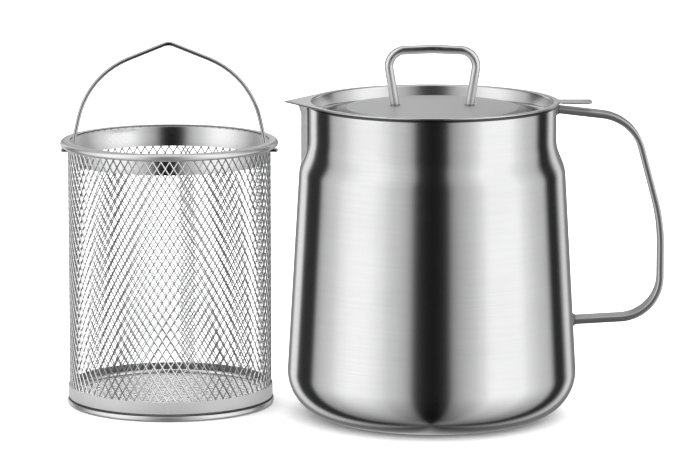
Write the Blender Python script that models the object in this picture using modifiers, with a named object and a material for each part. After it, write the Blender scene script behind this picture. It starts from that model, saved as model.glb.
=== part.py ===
"""A stainless strainer pot with its lid, and the mesh basket that stands beside it.

Metres, +Z up, the origin at the middle of the pot's flat base. The beak of the pot points
to -X and its handle to +X. The basket stands on the same surface, past the beak.
"""

import math

import bmesh
import bpy
from mathutils import Matrix

# Gap left between two pieces that touch, and how far a cutter runs past what it cuts.
SEAT_GAP = 0.0003
OVERRUN = 0.002

# The pot's shell, outside.
POT_HEIGHT = 0.1575
NECK_RADIUS = 0.0618
NECK_LENGTH = 0.0185
SHOULDER_LENGTH = 0.0171
SHOULDER_RADIUS = 0.0665
FOOT_RADIUS = 0.0723
FOOT_CORNER_RADIUS = 0.0227
POT_WALL = 0.0008
ROUND_STEPS = 44

# The pouring beak, pressed out of the neck, with a lip that flares at the rim.
BEAK_DEPTH = 0.0037
BEAK_LIP_DEPTH = 0.0051
BEAK_LIP_HEIGHT = 0.0060
BEAK_HALF_ANGLE = math.radians(7.65)
BEAK_TIP_SHARE = 0.2
BEAK_STEPS = 8

# The handle, a strip bent to a loop and welded at both ends.
STRIP_WIDTH = 0.0120
STRIP_THICKNESS = 0.0032
STRIP_EDGE_RADIUS = 0.0011
HANDLE_TOP_DEPTH = 0.0030
HANDLE_BOTTOM_Z = 0.0480
HANDLE_REACH = 0.1143
HANDLE_TOP_DROP = math.radians(6.6)
HANDLE_GRIP_LEAN = math.radians(15.1)
HANDLE_GRIP_BEND_Z = 0.0978
HANDLE_BOTTOM_RISE = math.radians(3.3)
HANDLE_TOP_BEND = 0.0230
HANDLE_GRIP_BEND = 0.0900
HANDLE_BOTTOM_BEND = 0.0210
WELD_THICKNESS = 0.0010
WELD_MARGIN = 0.0008

# The lid, one pressed sheet: a flange on the rim, a moat inside it round a raised middle,
# a flap over the beak and a thumb tab.
LID_SHEET = 0.0008
FLANGE_OVERHANG = 0.0015
FLANGE_WIDTH = 0.0033
MOAT_WALL_RUN = 0.0015
MOAT_WIDTH = 0.0065
MOAT_DEPTH = 0.0066
PLATEAU_SLOPE_RUN = 0.0100
PLATEAU_DEPTH = 0.0030
PLATEAU_CROWN = 0.0008
FLAP_LENGTH = 0.0102
FLAP_TIP_SHARE = 0.06
TAB_LENGTH = 0.0162
TAB_HALF_WIDTH = 0.0065

# The knob, a rod bent to a loop.
KNOB_ROD_RADIUS = 0.00225
KNOB_HEIGHT = 0.0305
KNOB_FOOT_X = 0.0185
KNOB_SHOULDER_X = 0.0216
KNOB_ARCH = 0.0010
KNOB_ARCH_BEND = 0.0600
KNOB_BEND = 0.0085
KNOB_WELD_RADIUS = 0.0032
KNOB_WELD_HEIGHT = 0.0006

# The basket, beside the pot.
BASKET_X = -0.1323
BASKET_Y = 0.0300
BASKET_HEIGHT = 0.1350
MESH_RADIUS = 0.0512
MESH_SHEET = 0.0006
MESH_STRAND = 0.0016
MESH_COLUMNS = 22
MESH_COURSES = 11
RING_STEPS = 2 * MESH_COLUMNS
BAND_SHEET = 0.0004
UPPER_BAND_HEIGHT = 0.0100
LOWER_BAND_HEIGHT = 0.0066
SEAM_WIDTH = 0.0070
SEAM_ANGLE = math.radians(82)

# The rolled rim: a lip over the mesh's edge, with the roll outside it.
RIM_REACH = 0.0551
ROLL_RADIUS = 0.00175
RIM_LIP = 0.0006
ROLL_STEPS = 7

# The ring that the basket stands on, its floor and the hoop round the floor.
BASE_RING_HEIGHT = 0.0030
BASE_RING_OVERHANG = 0.0012
BASE_RING_LEDGE = 0.0022
BASE_RING_EDGE = 0.0008
FLOOR_SHEET = 0.0008
FLOOR_RIM_WIDTH = 0.0030
FLOOR_RIM_SHEET = 0.0011
FLOOR_CELL = 0.0145
FLOOR_STRAND = 0.0022
HOOP_WIRE_RADIUS = 0.0009
HOOP_WIRE_SIDES = 6

# The bail, a wire whose ends turn out through the upper band.
BAIL_WIRE_RADIUS = 0.00095
BAIL_RISE = 0.0480
BAIL_PEAK_BEND = 0.0040
BAIL_PEAK_SLOPE = math.radians(22)
BAIL_SHOULDER_BEND = 0.0423
BAIL_LEG_LEAN = math.radians(12.6)
BAIL_HALF_WIDTH = 0.0485
BAIL_KNEE_BEND = 0.0200
BAIL_FOOT_BEND = 0.0020
BAIL_PIVOT_DEPTH = 0.0056
BAIL_HOLE_CLEARANCE = 0.0003

# Steps of a bend, for each quarter turn.
BEND_STEPS = 6

# Heights and radii that follow from those sizes.
NECK_BOTTOM_Z = POT_HEIGHT - NECK_LENGTH
SHOULDER_BOTTOM_Z = NECK_BOTTOM_Z - SHOULDER_LENGTH
BEAK_REACH = NECK_RADIUS + BEAK_DEPTH
BEAK_LIP_REACH = NECK_RADIUS + BEAK_LIP_DEPTH
LIP_EDGE_Z = POT_HEIGHT - POT_WALL
HANDLE_TOP_Z = POT_HEIGHT - HANDLE_TOP_DEPTH
WELD_HALF_HEIGHT = STRIP_THICKNESS / 2 + WELD_MARGIN
LID_Z = POT_HEIGHT + SEAT_GAP
LID_TOP_Z = LID_Z + LID_SHEET
FLANGE_RADIUS = NECK_RADIUS + FLANGE_OVERHANG
FLAP_REACH = FLANGE_RADIUS + FLAP_LENGTH
TAB_REACH = FLANGE_RADIUS + TAB_LENGTH
DISH_RADIUS = FLANGE_RADIUS - FLANGE_WIDTH
MOAT_OUTER_RADIUS = DISH_RADIUS - MOAT_WALL_RUN
MOAT_INNER_RADIUS = MOAT_OUTER_RADIUS - MOAT_WIDTH
PLATEAU_RADIUS = MOAT_INNER_RADIUS - PLATEAU_SLOPE_RUN
MESH_BORE = MESH_RADIUS - MESH_SHEET
BAND_RADIUS = MESH_BORE - SEAT_GAP
BAND_BORE = BAND_RADIUS - BAND_SHEET
LIP_UNDERSIDE_Z = BASKET_HEIGHT - RIM_LIP
MESH_TOP_Z = LIP_UNDERSIDE_Z - SEAT_GAP
MESH_BOTTOM_Z = BASE_RING_HEIGHT + SEAT_GAP
UPPER_BAND_BOTTOM_Z = MESH_TOP_Z - UPPER_BAND_HEIGHT
FLOOR_RADIUS = MESH_BORE - SEAT_GAP
FLOOR_RIM_TOP_Z = MESH_BOTTOM_Z + FLOOR_RIM_SHEET
HOOP_Z = FLOOR_RIM_TOP_Z + SEAT_GAP + HOOP_WIRE_RADIUS
HOOP_TOP_Z = HOOP_Z + HOOP_WIRE_RADIUS
BAIL_PIVOT_Z = BASKET_HEIGHT - BAIL_PIVOT_DEPTH


def clear_scene():
    """Remove every object that the file opens with."""
    for item in list(bpy.data.objects):
        bpy.data.objects.remove(item, do_unlink=True)


def make_collection(name):
    """A collection linked to the scene."""
    collection = bpy.data.collections.new(name)
    bpy.context.scene.collection.children.link(collection)
    return collection


clear_scene()
PARTS = make_collection("bacon_grease_container")
GUIDES = make_collection("guides")


def metal(name, colour, roughness):
    """A Principled BSDF metal."""
    material = bpy.data.materials.new(name)
    material.use_nodes = True
    shader = material.node_tree.nodes["Principled BSDF"]
    shader.inputs["Base Color"].default_value = (*colour, 1.0)
    shader.inputs["Roughness"].default_value = roughness
    shader.inputs["Metallic"].default_value = 1.0
    material.diffuse_color = (*colour, 1.0)
    return material


def place(name, data, parent=None):
    """A named sub-part in the parts' collection."""
    item = bpy.data.objects.new(name, data)
    item.parent = parent
    PARTS.objects.link(item)
    return item


def guide(item):
    """Keep a cutter or a guide out of the model."""
    for collection in item.users_collection:
        collection.objects.unlink(item)
    GUIDES.objects.link(item)
    item.hide_render = True
    item.display_type = "WIRE"
    return item


def empty(name, location, parent=None):
    """An empty on a joint's axis, which carries the pieces that move about it."""
    item = bpy.data.objects.new(name, None)
    item.parent = parent
    item.location = location
    PARTS.objects.link(item)
    return item


def mesh_object(name, bm, material, parent=None, smooth_angle=math.radians(35)):
    """Turn a bmesh into a named sub-part with smooth round faces."""
    mesh = bpy.data.meshes.new(name)
    bm.to_mesh(mesh)
    bm.free()
    mesh.shade_smooth()
    mesh.set_sharp_from_angle(angle=smooth_angle)
    mesh.materials.append(material)
    return place(name, mesh, parent)


def solidify(item, thickness, offset=-1.0):
    """Give an open sheet its thickness, inwards from its outer face."""
    shell = item.modifiers.new("sheet", "SOLIDIFY")
    shell.thickness = thickness
    shell.offset = offset
    shell.use_even_offset = True
    return shell


def turn(item, steps=RING_STEPS):
    """Turn a profile in the XZ plane about Z."""
    screw = item.modifiers.new("turn", "SCREW")
    screw.axis = "Z"
    screw.angle = math.tau
    screw.steps = steps
    screw.render_steps = steps
    screw.use_merge_vertices = True
    screw.merge_threshold = 0.00001
    screw.use_smooth_shade = True
    return screw


def turned(name, outline, material, parent=None, steps=RING_STEPS):
    """A ring turned from a closed outline of (radius, z) points, down its outer side first."""
    bm = bmesh.new()
    corners = [bm.verts.new((radius, 0, z)) for radius, z in outline]
    for first, second in zip(corners, corners[1:] + corners[:1]):
        bm.edges.new((first, second))
    mesh = bpy.data.meshes.new(name)
    bm.to_mesh(mesh)
    bm.free()
    mesh.materials.append(material)
    item = place(name, mesh, parent)
    turn(item, steps)
    return item


def arc(centre, radius, start, end, steps):
    """Points of an arc in a plane, from one angle to another."""
    points = []
    for step in range(steps + 1):
        angle = start + (end - start) * step / steps
        points.append((centre[0] + radius * math.cos(angle), centre[1] + radius * math.sin(angle)))
    return points


def meet(point_a, angle_a, point_b, angle_b):
    """Where two lines in a plane cross, each given by a point and its direction."""
    ax, az = math.cos(angle_a), math.sin(angle_a)
    bx, bz = math.cos(angle_b), math.sin(angle_b)
    gap_x, gap_z = point_b[0] - point_a[0], point_b[1] - point_a[1]
    along = (gap_x * bz - gap_z * bx) / (ax * bz - az * bx)
    return (point_a[0] + along * ax, point_a[1] + along * az)


def bent_path(corners):
    """A path in a plane through (x, z, bend radius) corners, each rounded by its bend."""
    points = [corners[0][:2]]
    for before, corner, after in zip(corners, corners[1:], corners[2:]):
        x, z, radius = corner
        to_before = math.atan2(before[1] - z, before[0] - x)
        to_after = math.atan2(after[1] - z, after[0] - x)
        opening = math.remainder(to_after - to_before, math.tau)
        half = abs(opening) / 2
        middle = to_before + opening / 2
        reach = radius / math.sin(half)
        centre = (x + reach * math.cos(middle), z + reach * math.sin(middle))
        turn_angle = math.pi - abs(opening)
        side = math.copysign(1, opening)
        start = to_before - side * math.pi / 2
        steps = max(1, math.ceil(turn_angle / (math.pi / 2) * BEND_STEPS))
        points += arc(centre, radius, start, start - side * turn_angle, steps)
    points.append(corners[-1][:2])
    return points


def path_curve(name, points, parent=None):
    """A curve in the XZ plane through the points of a path, with filled ends."""
    data = bpy.data.curves.new(name, "CURVE")
    data.dimensions = "3D"
    data.use_fill_caps = True
    spline = data.splines.new("POLY")
    spline.points.add(len(points) - 1)
    for point, (x, z) in zip(spline.points, points):
        point.co = (x, 0, z, 1)
    return place(name, data, parent)


def wire(name, points, radius, material, parent=None):
    """A round rod or wire along a path."""
    item = path_curve(name, points, parent)
    item.data.bevel_depth = radius
    item.data.bevel_resolution = 2
    item.data.materials.append(material)
    return item


def loft(name, rings, material, parent=None, closed_at=None):
    """An open sheet through rings of as many points each, closed at its first ring's middle."""
    bm = bmesh.new()
    rows = [[bm.verts.new(point) for point in ring] for ring in rings]
    for lower, upper in zip(rows, rows[1:]):
        count = len(lower)
        for place_on_ring in range(count):
            after = (place_on_ring + 1) % count
            bm.faces.new((lower[place_on_ring], lower[after], upper[after], upper[place_on_ring]))
    if closed_at is not None:
        middle = bm.verts.new(closed_at)
        first = rows[0]
        for this, after in zip(first, first[1:] + first[:1]):
            bm.faces.new((middle, after, this))
    return mesh_object(name, bm, material, parent)


def wall_patch(name, radius, half_width, low, high, thickness, facing, material, parent=None):
    """A curved plate on the outside of a round wall, its middle towards the angle facing."""
    bm = bmesh.new()
    columns = 4
    half_angle = math.asin(half_width / radius)
    rows = []
    for z in (low, high):
        row = []
        for column in range(columns + 1):
            angle = facing + half_angle * (2 * column / columns - 1)
            row.append(bm.verts.new((radius * math.cos(angle), radius * math.sin(angle), z)))
        rows.append(row)
    lower, upper = rows
    for column in range(columns):
        bm.faces.new((lower[column], lower[column + 1], upper[column + 1], upper[column]))
    item = mesh_object(name, bm, material, parent)
    solidify(item, thickness, 1.0)
    return item


def pot_radius(z):
    """The pot's outside at a height, without its beak."""
    if z >= NECK_BOTTOM_Z:
        return NECK_RADIUS
    if z >= SHOULDER_BOTTOM_Z:
        share = (NECK_BOTTOM_Z - z) / SHOULDER_LENGTH
        return NECK_RADIUS + (SHOULDER_RADIUS - NECK_RADIUS) * (1 - math.cos(math.pi * share)) / 2
    if z >= FOOT_CORNER_RADIUS:
        share = (SHOULDER_BOTTOM_Z - z) / (SHOULDER_BOTTOM_Z - FOOT_CORNER_RADIUS)
        return SHOULDER_RADIUS + (FOOT_RADIUS - SHOULDER_RADIUS) * share
    drop = FOOT_CORNER_RADIUS - z
    return FOOT_RADIUS - FOOT_CORNER_RADIUS + math.sqrt(FOOT_CORNER_RADIUS**2 - drop**2)


def pot_heights():
    """The heights of the shell's rings, from the base up to the rim."""
    heights = [FOOT_CORNER_RADIUS * (1 - math.cos(math.pi / 2 * step / 5)) for step in range(6)]
    heights += [SHOULDER_BOTTOM_Z + SHOULDER_LENGTH * step / 5 for step in range(6)]
    heights += [POT_HEIGHT - BEAK_LIP_HEIGHT, LIP_EDGE_Z, POT_HEIGHT]
    return heights


def shell_angles():
    """Angles of a ring's points, close together over the beak at -X and even elsewhere."""
    angles = []
    for step in range(BEAK_STEPS):
        angles.append(math.pi - BEAK_HALF_ANGLE + 2 * BEAK_HALF_ANGLE * step / BEAK_STEPS)
    rest = math.tau - 2 * BEAK_HALF_ANGLE
    for step in range(ROUND_STEPS):
        angles.append(math.pi + BEAK_HALF_ANGLE + rest * step / ROUND_STEPS)
    return angles


def rounded_fall(off, tip_share):
    """How far a rounded point has fallen away, from 0 at its tip to 1 at its root."""
    return (math.hypot(off, tip_share) - tip_share) / (math.hypot(1, tip_share) - tip_share)


def beak_radius(angle, z):
    """The outside at a point of the shell: the wall, or the beak where it stands out."""
    wall = pot_radius(z)
    off = abs(math.remainder(angle - math.pi, math.tau)) / BEAK_HALF_ANGLE
    if off > 1 or z < SHOULDER_BOTTOM_Z:
        return wall
    lip_start = POT_HEIGHT - BEAK_LIP_HEIGHT
    flare = min(1, max(0, (z - lip_start) / (LIP_EDGE_Z - lip_start)))
    reach = BEAK_REACH + (BEAK_LIP_REACH - BEAK_REACH) * flare
    return max(wall, reach - (reach - NECK_RADIUS) * rounded_fall(off, BEAK_TIP_SHARE))


def pot_shell(material):
    """The drawn shell: flat base, rounded foot, tapering wall, shoulder, neck and beak."""
    angles = shell_angles()
    rings = []
    for z in pot_heights():
        ring = []
        for angle in angles:
            radius = beak_radius(angle, z)
            ring.append((radius * math.cos(angle), radius * math.sin(angle), z))
        rings.append(ring)
    item = loft("pot_shell", rings, material, closed_at=(0, 0, 0))
    solidify(item, POT_WALL)


def strip_profile():
    """The handle strip's section, a rectangle with rounded edges."""
    x = STRIP_WIDTH / 2 - STRIP_EDGE_RADIUS
    y = STRIP_THICKNESS / 2 - STRIP_EDGE_RADIUS
    points = []
    for quarter, centre in enumerate(((x, y), (x, -y), (-x, -y), (-x, y))):
        start = math.pi / 2 - quarter * math.pi / 2
        points += arc(centre, STRIP_EDGE_RADIUS, start, start - math.pi / 2, 2)
    data = bpy.data.curves.new("strip_profile", "CURVE")
    data.dimensions = "2D"
    spline = data.splines.new("POLY")
    spline.points.add(len(points) - 1)
    for point, (x, y) in zip(spline.points, points):
        point.co = (x, y, 0, 1)
    spline.use_cyclic_u = True
    return guide(place("strip_profile", data))


def weld_seat(z):
    """The radius that a weld pad stands on, clear of the wall over the pad's height."""
    return max(pot_radius(z - WELD_HALF_HEIGHT), pot_radius(z + WELD_HALF_HEIGHT)) + SEAT_GAP


def handle_path():
    """The strip's middle line, from the neck round the grip to the body."""
    top_start = weld_seat(HANDLE_TOP_Z) + WELD_THICKNESS + SEAT_GAP
    bottom_end = weld_seat(HANDLE_BOTTOM_Z) + WELD_THICKNESS + SEAT_GAP
    grip_point = (HANDLE_REACH, HANDLE_GRIP_BEND_Z)
    grip_line = math.pi / 2 + HANDLE_GRIP_LEAN
    top_corner = meet((top_start, HANDLE_TOP_Z), -HANDLE_TOP_DROP, grip_point, grip_line)
    bottom_corner = meet((bottom_end, HANDLE_BOTTOM_Z), HANDLE_BOTTOM_RISE, grip_point, math.pi / 2)
    return bent_path(
        [
            (top_start, HANDLE_TOP_Z, 0),
            (*top_corner, HANDLE_TOP_BEND),
            (*grip_point, HANDLE_GRIP_BEND),
            (*bottom_corner, HANDLE_BOTTOM_BEND),
            (bottom_end, HANDLE_BOTTOM_Z, 0),
        ]
    )


def pot_handle(material, weld_material):
    """The strip loop, and the weld pad at each of its ends."""
    item = path_curve("pot_handle", handle_path())
    item.data.bevel_mode = "OBJECT"
    item.data.bevel_object = strip_profile()
    item.data.materials.append(material)
    half_width = STRIP_WIDTH / 2 + WELD_MARGIN
    for name, z in (("handle_upper_weld", HANDLE_TOP_Z), ("handle_lower_weld", HANDLE_BOTTOM_Z)):
        low = z - WELD_HALF_HEIGHT
        high = min(z + WELD_HALF_HEIGHT, POT_HEIGHT)
        wall_patch(name, weld_seat(z), half_width, low, high, WELD_THICKNESS, 0, weld_material)


def lid_edge(angle):
    """The lid's outline: the flange's circle, the pointed flap at -X and the tab at +X."""
    from_flap = abs(math.remainder(angle - math.pi, math.tau))
    flap_half_angle = math.acos(FLANGE_RADIUS / FLAP_REACH)
    if from_flap < flap_half_angle:
        fall = rounded_fall(from_flap / flap_half_angle, FLAP_TIP_SHARE)
        return FLANGE_RADIUS / math.cos(flap_half_angle * (1 - fall))
    from_tab = abs(math.remainder(angle, math.tau))
    tab_corner = math.atan2(TAB_HALF_WIDTH, TAB_REACH)
    if from_tab <= tab_corner:
        return TAB_REACH / math.cos(from_tab)
    return FLANGE_RADIUS


def lid_angles():
    """Angles of the lid's points: close over the flap, and at the tab's corners and roots."""
    flap = math.acos(FLANGE_RADIUS / FLAP_REACH)
    corner = math.atan2(TAB_HALF_WIDTH, TAB_REACH)
    root = math.asin(TAB_HALF_WIDTH / FLANGE_RADIUS)
    half = [0, corner, root]
    side_steps = 15
    flap_steps = 7
    for step in range(1, side_steps + 1):
        half.append(root + (math.pi - flap - root) * step / side_steps)
    for step in range(1, flap_steps + 1):
        share = 1 - (1 - step / flap_steps) ** 1.5
        half.append(math.pi - flap + flap * share)
    clockwise = [-angle for angle in half]
    return clockwise + list(reversed(half[1:-1]))


def eased(start, end, share):
    """A height that runs level at both ends of its way from start to end."""
    return start + (end - start) * (1 - math.cos(math.pi * share)) / 2


def dish_height(radius):
    """The top of the lid at a radius inside its flange."""
    moat = LID_TOP_Z - MOAT_DEPTH
    plateau = LID_TOP_Z - PLATEAU_DEPTH
    if radius >= MOAT_OUTER_RADIUS:
        return eased(moat, LID_TOP_Z, (radius - MOAT_OUTER_RADIUS) / MOAT_WALL_RUN)
    if radius >= MOAT_INNER_RADIUS:
        return moat
    if radius >= PLATEAU_RADIUS:
        return eased(plateau, moat, (radius - PLATEAU_RADIUS) / PLATEAU_SLOPE_RUN)
    return plateau + PLATEAU_CROWN * (1 - (radius / PLATEAU_RADIUS) ** 2)


def lid_ring(angles, radius_at, z):
    """A ring of the lid's points, its height told from the rim."""
    ring = []
    for angle in angles:
        radius = radius_at(angle)
        ring.append((radius * math.cos(angle), radius * math.sin(angle), z - POT_HEIGHT))
    return ring


def lid_pan(material, parent):
    """The pressed lid, lofted from its raised middle out to the flange's edge."""
    angles = lid_angles()
    steps = 4
    radii = [PLATEAU_RADIUS / 2]
    radii += [PLATEAU_RADIUS + PLATEAU_SLOPE_RUN * step / steps for step in range(steps + 1)]
    radii += [MOAT_OUTER_RADIUS + MOAT_WALL_RUN * step / steps for step in range(steps + 1)]
    rings = [lid_ring(angles, lambda _, radius=radius: radius, dish_height(radius)) for radius in radii]
    rings.append(lid_ring(angles, lid_edge, LID_TOP_Z))
    item = loft("lid_pan", rings, material, parent, closed_at=(0, 0, dish_height(0) - POT_HEIGHT))
    solidify(item, LID_SHEET)


def lid_knob(material, weld_material, parent):
    """The knob's rod loop, standing on a weld at each foot."""
    floor = dish_height(KNOB_FOOT_X) - POT_HEIGHT
    weld_base = floor + SEAT_GAP
    foot = weld_base + KNOB_WELD_HEIGHT + SEAT_GAP
    peak = floor + KNOB_HEIGHT - KNOB_ROD_RADIUS
    shoulder = peak - KNOB_ARCH
    corners = [
        (-KNOB_FOOT_X, foot, 0),
        (-KNOB_SHOULDER_X, shoulder, KNOB_BEND),
        (0, peak, KNOB_ARCH_BEND),
        (KNOB_SHOULDER_X, shoulder, KNOB_BEND),
        (KNOB_FOOT_X, foot, 0),
    ]
    wire("lid_knob", bent_path(corners), KNOB_ROD_RADIUS, material, parent)
    for name, side in (("knob_left_weld", -1), ("knob_right_weld", 1)):
        bm = bmesh.new()
        bmesh.ops.create_cone(
            bm,
            cap_ends=True,
            segments=16,
            radius1=KNOB_WELD_RADIUS,
            radius2=KNOB_ROD_RADIUS,
            depth=KNOB_WELD_HEIGHT,
        )
        weld = mesh_object(name, bm, weld_material, parent)
        weld.location = (side * KNOB_FOOT_X, 0, weld_base + KNOB_WELD_HEIGHT / 2)


def net_sheet(bm, strand):
    """Open each face of a sheet to a hole with a half strand left along every edge."""
    bm.normal_update()
    holes = list(bm.faces)
    bmesh.ops.inset_individual(bm, faces=holes, thickness=strand / 2, use_even_offset=True)
    bmesh.ops.delete(bm, geom=holes, context="FACES_ONLY")


def mesh_wall(material, parent):
    """The rolled expanded metal: a lattice of diamonds with a hole over each bail end."""
    bm = bmesh.new()
    columns = MESH_COLUMNS * 2
    levels = MESH_COURSES
    height = MESH_TOP_Z - MESH_BOTTOM_Z
    knots = {}
    for level in range(levels + 1):
        z = MESH_TOP_Z - height * level / levels
        for column in range(columns):
            if (column + level) % 2 == 1 or level in (0, levels):
                angle = math.tau * column / columns
                x, y = MESH_RADIUS * math.cos(angle), MESH_RADIUS * math.sin(angle)
                knots[column, level] = bm.verts.new((x, y, z))
    for level in range(levels + 1):
        for column in range(columns):
            if (column + level) % 2 == 1:
                continue
            left, right = (column - 1) % columns, (column + 1) % columns
            if level == 0:
                corners = (knots[left, 0], knots[column, 1], knots[right, 0], knots[column, 0])
            elif level == levels:
                above = knots[column, levels - 1]
                corners = (knots[right, levels], above, knots[left, levels], knots[column, levels])
            else:
                corners = (
                    knots[left, level],
                    knots[column, level + 1],
                    knots[right, level],
                    knots[column, level - 1],
                )
            bm.faces.new(corners)
    net_sheet(bm, MESH_STRAND)
    item = mesh_object("mesh_wall", bm, material, parent)
    solidify(item, MESH_SHEET)


def cylinder_guide(name, radius, low, high, steps=RING_STEPS):
    """A closed cylinder about Z that cuts or clips a piece."""
    bm = bmesh.new()
    depth = high - low
    bmesh.ops.create_cone(bm, cap_ends=True, segments=steps, radius1=radius, radius2=radius, depth=depth)
    bmesh.ops.translate(bm, vec=(0, 0, (low + high) / 2), verts=bm.verts)
    mesh = bpy.data.meshes.new(name)
    bm.to_mesh(mesh)
    bm.free()
    return guide(place(name, mesh))


def combine(item, other, operation):
    """Cut, clip or join a piece with a guide."""
    step = item.modifiers.new(operation.lower(), "BOOLEAN")
    step.operation = operation
    step.solver = "EXACT"
    step.object = other
    return step


def base_mesh(material, parent):
    """The floor: a net of square openings clipped round, with a plain rim."""
    rim_bore = FLOOR_RADIUS - FLOOR_RIM_WIDTH
    cells = math.ceil(rim_bore / FLOOR_CELL) * 2 + 1
    bm = bmesh.new()
    bmesh.ops.create_grid(bm, x_segments=cells, y_segments=cells, size=cells * FLOOR_CELL / 2)
    reach = FLOOR_RADIUS + FLOOR_CELL / 2
    outside = [face for face in bm.faces if face.calc_center_median().length > reach]
    bmesh.ops.delete(bm, geom=outside, context="FACES")
    net_sheet(bm, FLOOR_STRAND)
    sheet_top = MESH_BOTTOM_Z + (FLOOR_RIM_SHEET + FLOOR_SHEET) / 2
    bmesh.ops.rotate(bm, cent=(0, 0, 0), matrix=Matrix.Rotation(math.pi / 4, 3, "Z"), verts=bm.verts)
    bmesh.ops.translate(bm, vec=(0, 0, sheet_top), verts=bm.verts)
    item = mesh_object("base_mesh", bm, material, parent)
    solidify(item, FLOOR_SHEET)
    clip_radius = FLOOR_RADIUS - FLOOR_RIM_WIDTH / 2
    clip = cylinder_guide("floor_clip", clip_radius, MESH_BOTTOM_Z - OVERRUN, FLOOR_RIM_TOP_Z + OVERRUN)
    clip.parent = parent
    combine(item, clip, "INTERSECT")
    rim = guide(turned("floor_rim", floor_rim_outline(rim_bore), material, parent))
    combine(item, rim, "UNION")


def floor_rim_outline(rim_bore):
    """The floor rim's section."""
    return [
        (FLOOR_RADIUS, FLOOR_RIM_TOP_Z),
        (FLOOR_RADIUS, MESH_BOTTOM_Z),
        (rim_bore, MESH_BOTTOM_Z),
        (rim_bore, FLOOR_RIM_TOP_Z),
    ]


def band_outline(outer, inner, low, high):
    """A plain band's section."""
    return [(outer, high), (outer, low), (inner, low), (inner, high)]


def rim_ring(material, parent):
    """The rolled rim, its lip reaching in over the mesh and the upper band."""
    roll_x = RIM_REACH - ROLL_RADIUS
    roll_z = BASKET_HEIGHT - ROLL_RADIUS
    lip_angle = math.asin((LIP_UNDERSIDE_Z - roll_z) / ROLL_RADIUS)
    roll = arc((roll_x, roll_z), ROLL_RADIUS, math.pi / 2, -math.pi - lip_angle, ROLL_STEPS)
    turned("rim_ring", roll + [(BAND_BORE, LIP_UNDERSIDE_Z), (BAND_BORE, BASKET_HEIGHT)], material, parent)


def base_ring(material, parent):
    """The bead that the basket stands on, with a ledge under the floor."""
    outer = MESH_RADIUS + BASE_RING_OVERHANG
    inner = MESH_BORE - BASE_RING_LEDGE
    edge = BASE_RING_EDGE
    outline = arc((outer - edge, BASE_RING_HEIGHT - edge), edge, math.pi / 2, 0, 1)
    outline += arc((outer - edge, edge), edge, 0, -math.pi / 2, 1)
    outline += [(inner, 0), (inner, BASE_RING_HEIGHT)]
    turned("base_ring", outline, material, parent)


def base_hoop(material, parent):
    """The wire hoop that holds the floor down against the mesh."""
    middle = FLOOR_RADIUS - HOOP_WIRE_RADIUS
    full = arc((middle, HOOP_Z), HOOP_WIRE_RADIUS, 0, -math.tau, HOOP_WIRE_SIDES)
    turned("base_hoop", full[:-1], material, parent)


def upper_band(material, parent):
    """The plain band inside the mesh, bored for the bail's two ends."""
    outline = band_outline(BAND_RADIUS, BAND_BORE, UPPER_BAND_BOTTOM_Z, MESH_TOP_Z)
    item = turned("upper_band", outline, material, parent)
    reach = BAND_RADIUS + OVERRUN
    bore = cylinder_guide("bail_bore", BAIL_WIRE_RADIUS + BAIL_HOLE_CLEARANCE, -reach, reach, 12)
    bore.parent = parent
    bore.rotation_euler = (0, math.pi / 2, 0)
    bore.location = (0, 0, BAIL_PIVOT_Z)
    combine(item, bore, "DIFFERENCE")


def bail_path():
    """The bail's middle line about its pivot, from one turned-out end over to the other."""
    peak = BAIL_PIVOT_DEPTH + BAIL_RISE
    knee = (BAIL_HALF_WIDTH, BAIL_PIVOT_DEPTH)
    shoulder = meet((0, peak), -BAIL_PEAK_SLOPE, knee, math.pi / 2 + BAIL_LEG_LEAN)
    side = [
        (*shoulder, BAIL_SHOULDER_BEND),
        (*knee, BAIL_KNEE_BEND),
        (BAIL_HALF_WIDTH, 0, BAIL_FOOT_BEND),
        (RIM_REACH, 0, 0),
    ]
    other_side = [(-x, z, bend) for x, z, bend in reversed(side)]
    return bent_path(other_side + [(0, peak, BAIL_PEAK_BEND)] + side)


def build():
    """Model the pot, the lid, the basket and its bail."""
    brushed = metal("brushed_steel", (0.62, 0.62, 0.63), 0.28)
    bright = metal("bright_steel", (0.72, 0.72, 0.73), 0.16)
    mesh_steel = metal("mesh_steel", (0.66, 0.66, 0.67), 0.24)
    weld_steel = metal("weld_steel", (0.45, 0.44, 0.43), 0.42)

    pot_shell(brushed)
    pot_handle(bright, weld_steel)

    lid = empty("lid_lift_axis", (0, 0, POT_HEIGHT))
    lid_pan(brushed, lid)
    lid_knob(bright, weld_steel, lid)

    basket = empty("basket_lift_axis", (BASKET_X, BASKET_Y, 0))
    rim_ring(bright, basket)
    upper_band(bright, basket)
    mesh_wall(mesh_steel, basket)
    wall_patch(
        "mesh_seam",
        BAND_RADIUS - MESH_SHEET,
        SEAM_WIDTH / 2,
        HOOP_TOP_Z + SEAT_GAP,
        UPPER_BAND_BOTTOM_Z - SEAT_GAP,
        MESH_SHEET,
        SEAM_ANGLE,
        mesh_steel,
        basket,
    )
    lower_bore = MESH_RADIUS + SEAT_GAP
    lower_low = MESH_BOTTOM_Z
    outline = band_outline(lower_bore + BAND_SHEET, lower_bore, lower_low, lower_low + LOWER_BAND_HEIGHT)
    turned("lower_band", outline, bright, basket)
    base_ring(bright, basket)
    base_hoop(bright, basket)
    base_mesh(mesh_steel, basket)

    pivot = empty("bail_pivot", (0, 0, BAIL_PIVOT_Z), basket)
    wire("bail", bail_path(), BAIL_WIRE_RADIUS, bright, pivot)


build()
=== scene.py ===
"""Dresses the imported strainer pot, its lid and its mesh basket in fine shapes and steel."""

import math

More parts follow.
